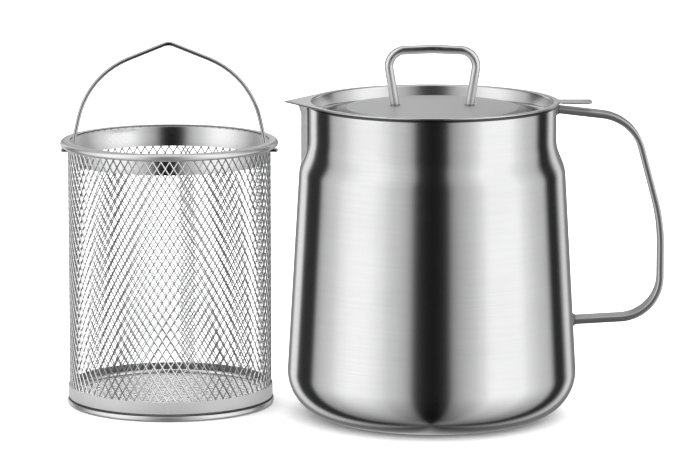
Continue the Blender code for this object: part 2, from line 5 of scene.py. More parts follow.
import bmesh
import bpy
import numpy as np
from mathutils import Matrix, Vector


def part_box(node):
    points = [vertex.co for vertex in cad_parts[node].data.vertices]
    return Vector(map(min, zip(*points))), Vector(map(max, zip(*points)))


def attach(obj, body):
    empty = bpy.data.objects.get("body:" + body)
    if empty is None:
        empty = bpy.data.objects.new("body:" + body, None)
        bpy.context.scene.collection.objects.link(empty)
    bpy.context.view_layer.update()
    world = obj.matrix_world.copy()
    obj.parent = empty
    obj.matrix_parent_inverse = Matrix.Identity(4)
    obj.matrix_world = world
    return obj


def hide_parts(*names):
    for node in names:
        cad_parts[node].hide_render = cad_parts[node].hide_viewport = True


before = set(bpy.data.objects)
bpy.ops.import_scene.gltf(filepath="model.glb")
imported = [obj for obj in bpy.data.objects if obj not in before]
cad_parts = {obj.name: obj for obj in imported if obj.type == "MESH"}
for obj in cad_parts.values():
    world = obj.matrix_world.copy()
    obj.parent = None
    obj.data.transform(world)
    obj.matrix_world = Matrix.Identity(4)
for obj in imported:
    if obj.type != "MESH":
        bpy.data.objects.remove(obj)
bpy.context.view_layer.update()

bl_info = {
    "name": "Strainer Pot and Basket",
    "version": (1, 0, 0),
    "blender": (4, 5, 0),
    "location": "3D View > Sidebar > Strainer Pot",
    "description": "Builds the fine pieces and steel finishes of a strainer pot, its lid and its basket",
    "category": "Object",
}

TAU = math.tau

# Between pieces that seat in each other, and round the bail in its holes.
SEAT_GAP = 0.0003

# Points round each of the basket's rings.
RING_STEPS = 240

# The photograph joins separate shots, so only these pieces are mirrored in the others.
MIRRORED = ("lid_pan", "lid_knob", "knob_left_weld", "knob_right_weld")


def length(name, default, description):
    """A size of a piece, in metres."""
    return bpy.props.FloatProperty(
        name=name, description=description, default=default, min=0, precision=5, unit="LENGTH"
    )


def place_on(name, default, description):
    """A coordinate in the frame, in metres."""
    return bpy.props.FloatProperty(
        name=name, description=description, default=default, precision=5, unit="LENGTH"
    )


def turn(name, degrees, description):
    """An angle of a piece."""
    return bpy.props.FloatProperty(
        name=name, description=description, default=math.radians(degrees), subtype="ANGLE"
    )


def count(name, default, description):
    """A number of like things."""
    return bpy.props.IntProperty(name=name, description=description, default=default, min=3)


def share(name, default, description):
    """A share from nothing to all."""
    return bpy.props.FloatProperty(name=name, description=description, default=default, min=0, max=1)


def tint(name, default, description):
    """A colour of a finish."""
    return bpy.props.FloatVectorProperty(
        name=name, description=description, default=default, subtype="COLOR", size=3, min=0, max=1
    )


def top_of(node):
    """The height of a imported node's highest point."""
    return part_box(node)[1].z


class PotSizes(bpy.types.PropertyGroup):
    """Sizes of the pot's shell and its handle."""

    height: length("Height", 0.1575, "From the base to the rim")
    neck_radius: length("Neck Radius", 0.0618, "Outside of the neck")
    neck_length: length("Neck Length", 0.0185, "Straight part of the neck")
    shoulder_length: length("Shoulder Length", 0.0171, "Height of the shoulder")
    shoulder_radius: length("Shoulder Radius", 0.0665, "Outside at the shoulder's foot")
    foot_radius: length("Foot Radius", 0.0723, "Outside at its widest, above the base")
    foot_corner: length("Foot Corner", 0.0227, "Radius of the corner over the base")
    wall: length("Wall", 0.0008, "Sheet that the shell is drawn from")
    beak_reach: length("Beak Reach", 0.0655, "From the axis to the beak's edge")
    beak_lip_reach: length("Beak Lip Reach", 0.0669, "From the axis to the beak's lip")
    beak_lip_height: length("Beak Lip Height", 0.0060, "Height of the lip's flare")
    beak_half_angle: turn("Beak Half Angle", 7.65, "From the beak's edge to its crease")
    strip_width: length("Strip Width", 0.0120, "Width of the handle's strip")
    strip_thickness: length("Strip Thickness", 0.0032, "Thickness of the handle's strip")
    strip_edge: length("Strip Edge", 0.0011, "Radius of the strip's edges")
    handle_top: place_on("Handle Top", 0.1545, "Height of the upper joint")
    handle_bottom: place_on("Handle Bottom", 0.0480, "Height of the lower joint")
    handle_reach: length("Handle Reach", 0.1143, "From the axis to the grip's middle line")
    handle_bend_height: length("Grip Bend Height", 0.0978, "Height of the bend in the grip")
    handle_drop: turn("Handle Drop", 6.6, "Fall of the handle's upper run")
    handle_lean: turn("Handle Lean", 15.1, "Lean of the grip's upper part")
    handle_rise: turn("Handle Rise", 3.3, "Rise of the handle's lower run")
    handle_top_bend: length("Handle Top Bend", 0.0230, "Radius of the upper bend")
    handle_grip_bend: length("Handle Grip Bend", 0.0900, "Radius of the bend in the grip")
    handle_bottom_bend: length("Handle Bottom Bend", 0.0210, "Radius of the lower bend")
    weld_bead: length("Weld Bead", 0.0005, "Radius of the bead round each joint")


class LidSizes(bpy.types.PropertyGroup):
    """Sizes of the lid and its knob."""

    sheet: length("Sheet", 0.0008, "Sheet that the lid is pressed from")
    flange_radius: length("Flange Radius", 0.0633, "Outer edge of the flange")
    dish_radius: length("Dish Radius", 0.0600, "Inner edge of the flange")
    wall_run: length("Wall Run", 0.0012, "How far the moat's outer wall leans in")
    wall_bend: length("Wall Bend", 0.0011, "Radius at the top and foot of that wall")
    moat_width: length("Moat Width", 0.0085, "Flat of the moat and half its inner slope")
    slope_bend: length("Slope Bend", 0.0080, "Radius at the top and foot of the inner slope")
    moat_depth: length("Moat Depth", 0.0066, "From the flange down to the moat")
    plateau_radius: length("Plateau Radius", 0.0438, "Edge of the raised middle")
    plateau_depth: length("Plateau Depth", 0.0030, "From the flange down to the middle's edge")
    plateau_crown: length("Plateau Crown", 0.0009, "Rise of the raised middle")
    flap_reach: length("Flap Reach", 0.0735, "From the axis to the flap's tip")
    flap_tip: length("Flap Tip", 0.0012, "Radius of the flap's tip")
    tab_reach: length("Tab Reach", 0.0795, "From the axis to the tab's end")
    tab_half_width: length("Tab Half Width", 0.0065, "Half the tab's width")
    tab_corner: length("Tab Corner", 0.0016, "Radius of the tab's corners")
    rod_radius: length("Rod Radius", 0.00225, "Radius of the knob's rod")
    knob_height: length("Knob Height", 0.0305, "From the lid to the knob's top")
    knob_foot: length("Knob Foot", 0.0185, "From the axis to a foot")
    knob_shoulder: length("Knob Shoulder", 0.0230, "From the axis to a shoulder")
    knob_arch: length("Knob Arch", 0.0010, "Rise of the knob's top")
    knob_arch_bend: length("Knob Arch Bend", 0.0600, "Radius of the knob's top")
    knob_bend: length("Knob Bend", 0.0080, "Radius of the knob's shoulders")
    weld_radius: length("Weld Radius", 0.0027, "Radius of the weld at each foot")
    weld_height: length("Weld Height", 0.0009, "Height of the weld at each foot")


class BasketSizes(bpy.types.PropertyGroup):
    """Sizes of the basket, its mesh and its bail."""

    centre_x: place_on("Centre X", -0.1323, "The basket's axis across the view")
    centre_y: place_on("Centre Y", 0.0300, "The basket's axis along the view")
    height: length("Height", 0.1350, "From the surface to the rim")
    mesh_radius: length("Mesh Radius", 0.0512, "Outside of the mesh")
    mesh_sheet: length("Mesh Sheet", 0.0006, "Thickness of the mesh")
    mesh_columns: count("Mesh Columns", 76, "Diamonds round the mesh")
    mesh_levels: count("Mesh Levels", 38, "Half diamonds up the mesh")
    broad_strand: length("Broad Strand", 0.00062, "Width of the strands that lean left")
    slim_strand: length("Slim Strand", 0.00050, "Width of the strands that lean right")
    strand_depth: length("Strand Depth", 0.00050, "Thickness of a strand")
    strand_twist: turn("Strand Twist", 34, "Turn of a strand about its own length")
    band_sheet: length("Band Sheet", 0.0004, "Sheet of both bands")
    seam_width: length("Seam Width", 0.0070, "Overlap where the mesh's ends meet")
    seam_angle: turn("Seam Angle", 82, "Where the seam is, from +X")
    rim_reach: length("Rim Reach", 0.0551, "Outer edge of the rim")
    roll_radius: length("Roll Radius", 0.00175, "Radius of the rim's roll")
    rim_lip: length("Rim Lip", 0.0006, "Thickness of the rim's lip")
    base_ring_height: length("Base Ring Height", 0.0030, "Height of the bead at the base")
    base_ring_overhang: length("Base Ring Overhang", 0.0012, "Bead past the mesh")
    base_ring_ledge: length("Base Ring Ledge", 0.0022, "Bead under the floor")
    base_ring_edge: length("Base Ring Edge", 0.0012, "Radius of the bead's outer edges")
    floor_rim: length("Floor Rim", 0.0011, "Thickness of the floor's rim")
    floor_rim_width: length("Floor Rim Width", 0.0030, "Width of the floor's rim")
    floor_pitch: length("Floor Pitch", 0.0026, "Between two wires of the floor")
    floor_wire: length("Floor Wire", 0.00038, "Radius of the floor's wires")
    hoop_wire: length("Hoop Wire", 0.0009, "Radius of the hoop's wire")
    bail_wire: length("Bail Wire", 0.00105, "Radius of the bail's wire")
    bail_rise: length("Bail Rise", 0.0490, "From the rim to the bail's peak")
    bail_peak_bend: length("Bail Peak Bend", 0.0065, "Radius of the peak")
    bail_peak_slope: turn("Bail Peak Slope", 22, "Fall from the peak to a shoulder")
    bail_shoulder_bend: length("Bail Shoulder Bend", 0.0423, "Radius of each shoulder")
    bail_leg_lean: turn("Bail Leg Lean", 12.6, "Lean of each leg")
    bail_half_width: length("Bail Half Width", 0.0481, "From the axis to a foot")
    bail_knee_bend: length("Bail Knee Bend", 0.0200, "Radius of each knee")
    bail_foot_bend: length("Bail Foot Bend", 0.0020, "Radius of each foot")
    bail_pivot_depth: length("Bail Pivot Depth", 0.0056, "From the rim down to the pivot")


class SteelFinishes(bpy.types.PropertyGroup):
    """Colours and gloss of the steel."""

    brushed: tint("Brushed", (0.82, 0.82, 0.825), "Shell and lid")
    brushed_roughness: share("Brushed Roughness", 0.13, "Roughness of the shell and lid")
    satin_middle: share("Satin Middle", 0.12, "Roughness that the lid's raised middle has over the rest")
    satin_lid: tint("Satin Lid", (0.645, 0.645, 0.65), "The lid's raised middle")
    drawn: tint("Drawn", (0.60, 0.60, 0.603), "Wire of the bail")
    bright: tint("Bright", (0.84, 0.84, 0.845), "Knob")
    bright_roughness: share("Bright Roughness", 0.11, "Roughness of the bright pieces")
    rolled: tint("Rolled", (0.88, 0.88, 0.885), "Rim, bands, bead and hoop")
    rolled_roughness: share("Rolled Roughness", 0.28, "Roughness of the rim and bands")
    satin: tint("Satin", (0.70, 0.70, 0.705), "Handle strip")
    satin_roughness: share("Satin Roughness", 0.36, "Roughness of the handle strip")
    strand: tint("Strand", (0.92, 0.92, 0.925), "Woven floor")
    strand_roughness: share("Strand Roughness", 0.14, "Roughness of the woven floor")
    frosted: tint("Frosted", (0.92, 0.92, 0.922), "Outer sides of the mesh's strands")
    frosted_roughness: share("Frosted Roughness", 0.24, "Roughness of the strands' outer sides")
    # Painted shade: the strands' edges and inner sides take a dark copy of the strand steel.
    strand_shade: tint("Strand Shade", (0.38, 0.38, 0.383), "Edges and inner sides of the mesh's strands")
    strand_shade_roughness: share("Strand Shade Roughness", 0.45, "Roughness of the edges and inner sides")
    weld: tint("Weld", (0.36, 0.355, 0.35), "Welded joints")
    weld_roughness: share("Weld Roughness", 0.42, "Roughness of the welded joints")
    floor: tint("Floor", (0.95, 0.95, 0.95), "Floor under the object")


class StageSizes(bpy.types.PropertyGroup):
    """Where the camera stands and how the studio is lit."""

    aim_x: place_on("Aim X", -0.0445, "What the camera looks at, across the view")
    aim_z: place_on("Aim Z", 0.0947, "What the camera looks at, above the floor")
    elevation: turn("Elevation", 9.5, "The camera's angle above the horizon")
    distance: length("Distance", 2.2, "From the camera to what it looks at")
    view_width: length("View Width", 0.343, "Width of the view where the camera looks")
    floor_half: length("Floor Half", 6.0, "Half the floor's side")
    light: bpy.props.FloatProperty(
        name="Light", description="Strength of the soft light on the floor", default=2.6, min=0
    )


def sizes(name):
    """The sizes of one group, as the scene holds them."""
    return getattr(bpy.context.scene, name)


# Points, sections and bodies


class Shape:
    """Points and faces gathered for one piece."""

    def __init__(self):
        self.points = []
        self.faces = []
        self.shade_painted_faces = []

    def rings(self, rows, joined=False, start=None, end=None, cut=()):
        """Join closed rings of as many points each, closed at both ends unless joined round.

        The places named in cut take the second material, which the strands use to paint their edges and inner
        sides dark as shade.
        """
        rows = [np.asarray(row, float) for row in rows]
        first = len(self.points)
        size = len(rows[0])
        for row in rows:
            self.points.extend(map(tuple, row))
        last = len(rows) if joined else len(rows) - 1
        for step in range(last):
            low = first + step * size
            high = first + (step + 1) % len(rows) * size
            for place in range(size):
                after = (place + 1) % size
                if place in cut:
                    self.shade_painted_faces.append(len(self.faces))
                self.faces.append((low + place, low + after, high + after, high + place))
        if joined:
            return
        end_row = first + (len(rows) - 1) * size
        for row, point, points_of_ring in (
            (first, start, rows[0]),
            (end_row, end, rows[-1]),
        ):
            middle = len(self.points)
            self.points.append(tuple(points_of_ring.mean(axis=0) if point is None else point))
            for place in range(size):
                after = (place + 1) % size
                corners = (row + after, row + place, middle)
                self.faces.append(corners if row == first else corners[::-1])

    def make(self, name, material, body, slot, *replaced, crease=50, shade_painted_material=None):
        """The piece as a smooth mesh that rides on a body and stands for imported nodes."""
        mesh = bpy.data.meshes.new(name)
        mesh.from_pydata(self.points, [], self.faces)
        bm = bmesh.new()
        bm.from_mesh(mesh)
        bmesh.ops.recalc_face_normals(bm, faces=bm.faces)
        bm.to_mesh(mesh)
        bm.free()
        mesh.shade_smooth()
        mesh.set_sharp_from_angle(angle=math.radians(crease))
        mesh.materials.append(material)
        # The second material paints the faces named in cut dark as shade.
        if shade_painted_material is not None:
            mesh.materials.append(shade_painted_material)
            for face in self.shade_painted_faces:
                mesh.polygons[face].material_index = 1
        item = bpy.data.objects.new(name, mesh)
        bpy.context.scene.collection.objects.link(item)
        item.visible_glossy = name.removesuffix("_fine") in MIRRORED
        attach(item, body)
        if replaced:
            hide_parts(*replaced)
        return item


def circle(radius, sides, turned=0.0):
    """A round section, as (outwards, sideways) points."""
    angles = turned + np.arange(sides) * TAU / sides
    return np.column_stack([radius * np.cos(angles), radius * np.sin(angles)])


def rounded_box(half_u, half_v, edge, steps):
    """A rectangle with rounded corners, as points round it."""
    points = []
    for quarter, (u, v) in enumerate(((1, 1), (-1, 1), (-1, -1), (1, -1))):
        angles = quarter * math.pi / 2 + np.linspace(0, math.pi / 2, steps + 1)
        middle_u, middle_v = u * (half_u - edge), v * (half_v - edge)
        points += [(middle_u + edge * math.cos(a), middle_v + edge * math.sin(a)) for a in angles]
    return np.array(points)


def along(path, outwards):
    """Unit directions along a path, outwards from it and across both, at each point."""
    ahead = np.gradient(path, axis=0)
    ahead /= np.linalg.norm(ahead, axis=1)[:, None]
    out = outwards - (outwards * ahead).sum(axis=1)[:, None] * ahead
    out /= np.linalg.norm(out, axis=1)[:, None]
    return ahead, out, np.cross(ahead, out)


def sweep(shape, path, outwards, section, scales=None, joined=False, cut=()):
    """Carry a section along a path, and close both its ends."""
    path = np.asarray(path, float)
    _, out, across = along(path, np.broadcast_to(np.asarray(outwards, float), path.shape))
    scales = np.ones(len(path)) if scales is None else scales
    rows = []
    for point, u, v, scale in zip(path, out, across, scales):
        rows.append(point + scale * (section[:, :1] * u + section[:, 1:] * v))
    shape.rings(rows, joined=joined, cut=cut)


def rounded_rod(shape, path, outwards, radius, sides=16):
    """A round rod along a path, its two ends rounded."""
    path = np.asarray(path, float)
    cap = np.sin(np.linspace(0.25, 1.0, 4) * math.pi / 2)
    back = radius * (1 - np.sqrt(1 - cap**2))
    first, last = path[1] - path[0], path[-1] - path[-2]
    first, last = first / np.linalg.norm(first), last / np.linalg.norm(last)
    starts = [path[0] + first * (radius - reach) for reach in (radius - back)]
    ends = [path[-1] - last * (radius - reach) for reach in (radius - back)]
    middle = [p for p in path[1:-1]]
    full = starts + middle + ends[::-1]
    scales = np.concatenate([cap, np.ones(len(middle)), cap[::-1]])
    sweep(shape, full, outwards, circle(radius, sides), scales)


def turned(shape, outline, centre=(0, 0), steps=200):
    """A ring turned from a closed outline of (radius, z) points."""
    outline = np.asarray(outline, float)
    rows = []
    for angle in np.arange(steps) * TAU / steps:
        x = centre[0] + outline[:, 0] * math.cos(angle)
        y = centre[1] + outline[:, 0] * math.sin(angle)
        rows.append(np.column_stack([x, y, outline[:, 1]]))
    shape.rings(rows, joined=True)


def arc(centre, radius, start, end, steps):
    """Points of an arc in a plane, its angles in degrees."""
    angles = np.radians(np.linspace(start, end, steps + 1))
    return [(centre[0] + radius * math.cos(a), centre[1] + radius * math.sin(a)) for a in angles]


def meet(point_a, angle_a, point_b, angle_b):
    """Where two lines in a plane cross, each given by a point and its direction."""
    ax, az = math.cos(angle_a), math.sin(angle_a)
    bx, bz = math.cos(angle_b), math.sin(angle_b)
    gap_x, gap_z = point_b[0] - point_a[0], point_b[1] - point_a[1]
    run = (gap_x * bz - gap_z * bx) / (ax * bz - az * bx)
    return (point_a[0] + run * ax, point_a[1] + run * az)


def bent_path(corners, bend_step=math.radians(6)):
    """A path in a plane through (x, z, bend radius) corners, each rounded by its bend."""
    points = [corners[0][:2]]
    for before, corner, after in zip(corners, corners[1:], corners[2:]):
        x, z, radius = corner
        to_before = math.atan2(before[1] - z, before[0] - x)
        to_after = math.atan2(after[1] - z, after[0] - x)
        opening = math.remainder(to_after - to_before, TAU)
        middle = to_before + opening / 2
        reach = radius / math.sin(abs(opening) / 2)
        centre = (x + reach * math.cos(middle), z + reach * math.sin(middle))
        bend = math.pi - abs(opening)
        side = math.copysign(1, opening)
        start = to_before - side * math.pi / 2
        steps = max(2, math.ceil(bend / bend_step))
        for step in range(steps + 1):
            angle = start - side * bend * step / steps
            points.append((centre[0] + radius * math.cos(angle), centre[1] + radius * math.sin(angle)))
    points.append(corners[-1][:2])
    return points


def upright(path, x=0.0, y=0.0, z=0.0):
    """A path in a plane, stood up in the XZ plane."""
    return np.array([(x + u, y, z + v) for u, v in path])


def softened(places, values, reach):
    """Values along a line with their corners softened over a reach."""
    step = places[1] - places[0]
    half = int(3 * reach / step)
    weights = np.exp(-0.5 * (np.arange(-half, half + 1) * step / reach) ** 2)
    padded = np.pad(values, half, mode="reflect", reflect_type="odd")
    return np.convolve(padded, weights / weights.sum(), mode="valid")


def eased(start, end, part):
    """A height that runs level at both ends of its way from start to end."""
    return start + (end - start) * (1 - np.cos(np.pi * np.clip(part, 0, 1))) / 2


# The pot


def wall_line(pot):
    """Heights up the wall and the outside radius at each, with soft bends."""
    neck_foot = pot.height - pot.neck_length
    shoulder_foot = neck_foot - pot.shoulder_length
    lean = math.atan2(pot.foot_radius - pot.shoulder_radius, shoulder_foot - pot.foot_corner)
    start_z = pot.foot_corner * (1 + math.sin(lean))
    start_radius = pot.foot_radius - pot.foot_corner * (1 - math.cos(lean))
    heights = np.linspace(start_z, pot.height, 600)
    part = (heights - start_z) / (shoulder_foot - start_z)
    wall = start_radius + (pot.shoulder_radius - start_radius) * part
    neck = eased(pot.shoulder_radius, pot.neck_radius, (heights - shoulder_foot) / pot.shoulder_length)
    radii = np.where(heights < shoulder_foot, wall, neck)
    return heights, softened(heights, radii, 0.0014), lean


def beak_lift(pot, angles, z, wall_radius):
    """How far the beak stands out of the wall at a height, at each angle."""
    off = np.abs((angles - math.pi + math.pi) % TAU - math.pi) / pot.beak_half_angle
    tip = 0.2
    fall = (np.hypot(off, tip) - tip) / (math.hypot(1, tip) - tip)
    flare = eased(0, 1, 1 - (pot.height - z) / pot.beak_lip_height)
    reach = pot.beak_reach + (pot.beak_lip_reach - pot.beak_reach) * flare
    above = reach - (reach - pot.neck_radius) * fall - wall_radius
    softness = 0.00022
    return (above + np.sqrt(above**2 + softness**2)) / 2


def shell_angles():
    """Angles round the shell, close together over the beak at -X."""
    half = math.radians(13)
    over_beak = np.linspace(math.pi - half, math.pi + half, 72, endpoint=False)
    elsewhere = np.linspace(math.pi + half, 3 * math.pi - half, 176, endpoint=False)
    return np.concatenate([over_beak, elsewhere])


def shell_section(pot):
    """The shell's section, up its outside, over the rim and down its inside."""
    heights, radii, lean = wall_line(pot)
    corner, wall = pot.foot_corner, pot.wall
    centre = (pot.foot_radius - corner, corner)
    flat = [(centre[0] * part, 0.0) for part in (0.3, 0.6, 0.85, 0.97)]
    outside = arc(centre, corner, -90, math.degrees(lean), 24)
    inner_corner = arc(centre, corner - wall, math.degrees(lean), -90, 24)
    levels = np.concatenate(
        [
            np.linspace(heights[0], pot.height - pot.neck_length - 0.028, 12)[1:],
            np.linspace(pot.height - pot.neck_length - 0.027, pot.height - pot.neck_length + 0.004, 34),
            np.linspace(pot.height - pot.neck_length + 0.006, pot.height - 0.007, 5),
            np.linspace(pot.height - 0.0062, pot.height - wall / 2, 9),
        ]
    )
    up = [(np.interp(z, heights, radii), z) for z in levels]
    rim_radius = radii[-1] - wall / 2
    rim = arc((rim_radius, pot.height - wall / 2), wall / 2, 0, 180, 6)[1:-1]
    down = [(radius - wall, z) for radius, z in reversed(up)]
    floor = [(centre[0] * part, wall) for part in (0.97, 0.85, 0.6, 0.3)]
    return flat + outside + up + rim + down + inner_corner + floor


def pot_shell(material):
    """The drawn shell, with the beak pressed out of its neck and shoulder."""
    pot = sizes("strainer_pot")
    heights, radii, _ = wall_line(pot)
    angles = shell_angles()
    beak_foot = pot.height - pot.neck_length - pot.shoulder_length - 0.004
    rows = []
    for radius, z in shell_section(pot):
        lift = 0
        if z > beak_foot:
            lift = beak_lift(pot, angles, z, np.interp(z, heights, radii))
            lift = lift * eased(0, 1, (z - beak_foot) / 0.004)
        reach = radius + lift
        flat = reach * np.cos(angles), reach * np.sin(angles)
        rows.append(np.column_stack([*flat, np.full_like(angles, z)]))
    shape = Shape()
    shape.rings(rows, start=(0, 0, 0), end=(0, 0, pot.wall))
    shape.make("pot_shell_fine", material, "pot", "brushed_steel", "pot_shell")


def handle_path(pot, start, end):
    """The strip's middle line, from the neck round the grip to the body."""
    grip = (pot.handle_reach, pot.handle_bend_height)
    top = meet((start, pot.handle_top), -pot.handle_drop, grip, math.pi / 2 + pot.handle_lean)
    bottom = meet((end, pot.handle_bottom), pot.handle_rise, grip, math.pi / 2)
    corners = [
        (start, pot.handle_top, 0),
        (*top, pot.handle_top_bend),
        (*grip, pot.handle_grip_bend),
        (*bottom, pot.handle_bottom_bend),
        (end, pot.handle_bottom, 0),
    ]
    return bent_path(corners, math.radians(3))


def joint_bead(shape, pot, seat, z):
    """A pad between a strip end and the wall, with a rippled bead round it."""
    half_width = pot.strip_width / 2 + pot.weld_bead / 2
    half_height = pot.strip_thickness / 2 + pot.weld_bead / 2
    corner, pad_reach = 0.0014, 0.0013
    outline = rounded_box(half_width, half_height, corner, 6)
    pairs = zip(outline, np.roll(outline, -1, axis=0))
    dense = np.concatenate([np.linspace(a, b, 5)[:-1] for a, b in pairs])
    wall_x = np.sqrt(seat**2 - dense[:, 0] ** 2)
    path = np.column_stack([wall_x + pot.weld_bead / 3, dense[:, 0], z + dense[:, 1]])
    middle = path.mean(axis=0)
    out = path - middle
    steps = np.arange(len(path))
    ripple = 1 + 0.09 * np.sin(steps * 1.9) + 0.06 * np.sin(steps * 0.7)
    section = circle(pot.weld_bead, 8)
    ahead = np.roll(path, -1, axis=0) - np.roll(path, 1, axis=0)
    ahead /= np.linalg.norm(ahead, axis=1)[:, None]
    out -= (out * ahead).sum(axis=1)[:, None] * ahead
    out /= np.linalg.norm(out, axis=1)[:, None]
    across = np.cross(ahead, out)
    rows = []
    for point, u, v, scale in zip(path, out, across, ripple):
        rows.append(point + scale * (section[:, :1] * u + section[:, 1:] * v))
    shape.rings(rows, joined=True)
    pad = [np.column_stack([wall_x + lift, dense[:, 0], z + dense[:, 1]]) for lift in (0, pad_reach)]
    shape.rings(pad)


def pot_handle(material, weld_material):
    """The strip loop and the welded joint at each of its ends."""
    pot = sizes("strainer_pot")
    heights, radii, _ = wall_line(pot)
    seats = [np.interp(z, heights, radii) for z in (pot.handle_top, pot.handle_bottom)]
    pad = 0.0008
    path = upright(handle_path(pot, seats[0] + pad, seats[1] + pad))
    section = rounded_box(pot.strip_thickness / 2, pot.strip_width / 2, pot.strip_edge, 5)
    shape = Shape()
    outwards = np.cross(np.gradient(path, axis=0), (0, 1, 0))
    sweep(shape, path, outwards, section)
    shape.make("pot_handle_fine", material, "pot", "bright_steel", "pot_handle")
    for name, seat, z in zip(
        ("handle_upper_weld", "handle_lower_weld"), seats, (pot.handle_top, pot.handle_bottom)
    ):
        bead = Shape()
        joint_bead(bead, pot, seat, z)
        bead.make(name + "_fine", weld_material, "pot", "weld_steel", name)


# The lid


def lid_outline(lid):
    """Points round the lid: the flange's circle, the tab at +X and the flap at -X."""
    half_width, corner = lid.tab_half_width, lid.tab_corner
    half = [(lid.tab_reach, part * (half_width - corner)) for part in (0, 0.5, 1)]
    half += arc((lid.tab_reach - corner, half_width - corner), corner, 0, 90, 6)[1:]
    root = math.asin((half_width + corner) / (lid.flange_radius + corner))
    root_x = (lid.flange_radius + corner) * math.cos(root)
    half += [(lid.tab_reach + (root_x - lid.tab_reach) * part, half_width) for part in (0.35, 0.7)]
    half += arc((root_x, half_width + corner), corner, 270, 180 + math.degrees(root), 5)
    turn_off = math.acos((lid.flange_radius - lid.flap_tip) / (lid.flap_reach - lid.flap_tip))
    flange = math.degrees(root), 180 - math.degrees(turn_off)
    half += arc((0, 0), lid.flange_radius, *flange, 84)[1:]
    tip = (lid.flap_tip - lid.flap_reach, 0)
    tip_arc = arc(tip, lid.flap_tip, 180 - math.degrees(turn_off), 180, 6)
    start, end = np.array(half[-1]), np.array(tip_arc[0])
    half += [tuple(start + (end - start) * part) for part in np.linspace(0, 1, 16)[1:-1]]
    half += tip_arc
    return np.array(half + [(x, -y) for x, y in reversed(half[1:-1])])


def dish_line(lid):
    """The lid's top from its middle out to the flange, as (radius, height) points."""
    radii = np.linspace(0.006, lid.plateau_radius - 0.006, 7)
    crown = lid.plateau_crown * (1 - (radii / lid.plateau_radius) ** 2)
    wall_foot = lid.dish_radius - lid.wall_run
    corners = [
        (radii[-1], crown[-1] - lid.plateau_depth, 0),
        (lid.plateau_radius, -lid.plateau_depth, lid.slope_bend),
        (wall_foot - lid.moat_width, -lid.moat_depth, lid.slope_bend),
        (wall_foot, -lid.moat_depth, lid.wall_bend),
        (lid.dish_radius, 0, lid.wall_bend),
        (lid.flange_radius - 0.0018, 0, 0),
    ]
    middle = list(zip(radii[:-1], crown[:-1] - lid.plateau_depth))
    return np.array(middle + bent_path(corners, math.radians(5)))


def lid_pan(material):
    """The pressed lid: a raised middle, a moat round it, the flange, the flap and the tab."""
    lid = sizes("strainer_lid")
    top = top_of("lid_pan")
    outline = lid_outline(lid)
    angles = np.arctan2(outline[:, 1], outline[:, 0])
    spokes = np.column_stack([np.cos(angles), np.sin(angles)])
    tangent = np.roll(outline, -1, axis=0) - np.roll(outline, 1, axis=0)
    tangent /= np.linalg.norm(tangent, axis=1)[:, None]
    outwards = np.column_stack([tangent[:, 1], -tangent[:, 0]])
    line = dish_line(lid)
    ahead = np.gradient(line, axis=0)
    ahead /= np.linalg.norm(ahead, axis=1)[:, None]
    under = line + lid.sheet * np.column_stack([ahead[:, 1], -ahead[:, 0]])

    def ring(flat, z):
        return np.column_stack([flat, np.full(len(flat), top + z)])

    above = [ring(spokes * radius, z) for radius, z in line]
    below = [ring(spokes * radius, z) for radius, z in under]
    edge = lid.sheet / 2
    inner = outline - outwards * edge
    last = above[-1][:, :2]
    for part in (0.35, 0.7):
        above.append(ring(last * (1 - part) + inner * part, 0))
        below.append(ring(last * (1 - part) + inner * part, -lid.sheet))
    rim = []
    for angle in np.radians(np.linspace(90, -90, 7)):
        rim.append(ring(inner + outwards * edge * math.cos(angle), edge * math.sin(angle) - edge))
    shape = Shape()
    centre = top + lid.plateau_crown - lid.plateau_depth
    shape.rings(above + rim + below[::-1], start=(0, 0, centre), end=(0, 0, centre - lid.sheet))
    shape.make("lid_pan_fine", material, "lid", "brushed_steel", "lid_pan")


def foot_height(lid):
    """The height of the lid's top where a foot of the knob stands."""
    return top_of("lid_pan") + np.interp(lid.knob_foot, *dish_line(lid).T)


def lid_knob(material, weld_material):
    """The bent rod loop and the weld at each of its feet."""
    lid = sizes("strainer_lid")
    floor = foot_height(lid)
    peak = floor + lid.knob_height - lid.rod_radius
    corners = [
        (-lid.knob_foot, floor, 0),
        (-lid.knob_shoulder, peak - lid.knob_arch, lid.knob_bend),
        (0, peak, lid.knob_arch_bend),
        (lid.knob_shoulder, peak - lid.knob_arch, lid.knob_bend),
        (lid.knob_foot, floor, 0),
    ]
    shape = Shape()
    sweep(shape, upright(bent_path(corners, math.radians(4))), (0, 1, 0), circle(lid.rod_radius, 28))
    shape.make("lid_knob_fine", material, "lid", "bright_steel", "lid_knob")
    for name, side in (("knob_left_weld", -1), ("knob_right_weld", 1)):
        lean = (lid.knob_shoulder - lid.knob_foot) / (peak - floor)
        rows = []
        angles = np.arange(40) * TAU / 40
        sunk, drawn_in = 0.0001, lid.rod_radius * 1.01 - lid.weld_radius
        for part in np.linspace(0, 1, 8):
            radius = lid.weld_radius + drawn_in * math.sin(part * math.pi / 2)
            ripple = radius + 0.00009 * (1 - part) * np.sin(angles * 9)
            z = floor - sunk + lid.weld_height * (1 - math.cos(part * math.pi / 2))
            x = side * (lid.knob_foot + lean * (z - floor))
            flat = x + ripple * np.cos(angles), ripple * np.sin(angles)
            rows.append(np.column_stack([*flat, np.full_like(angles, z)]))
        weld = Shape()
        weld.rings(rows)
        weld.make(name + "_fine", weld_material, "lid", "weld_steel", name)


# The basket


def basket_centre():
    """The basket's axis."""
    basket = sizes("strainer_basket")
    return np.array([basket.centre_x, basket.centre_y])


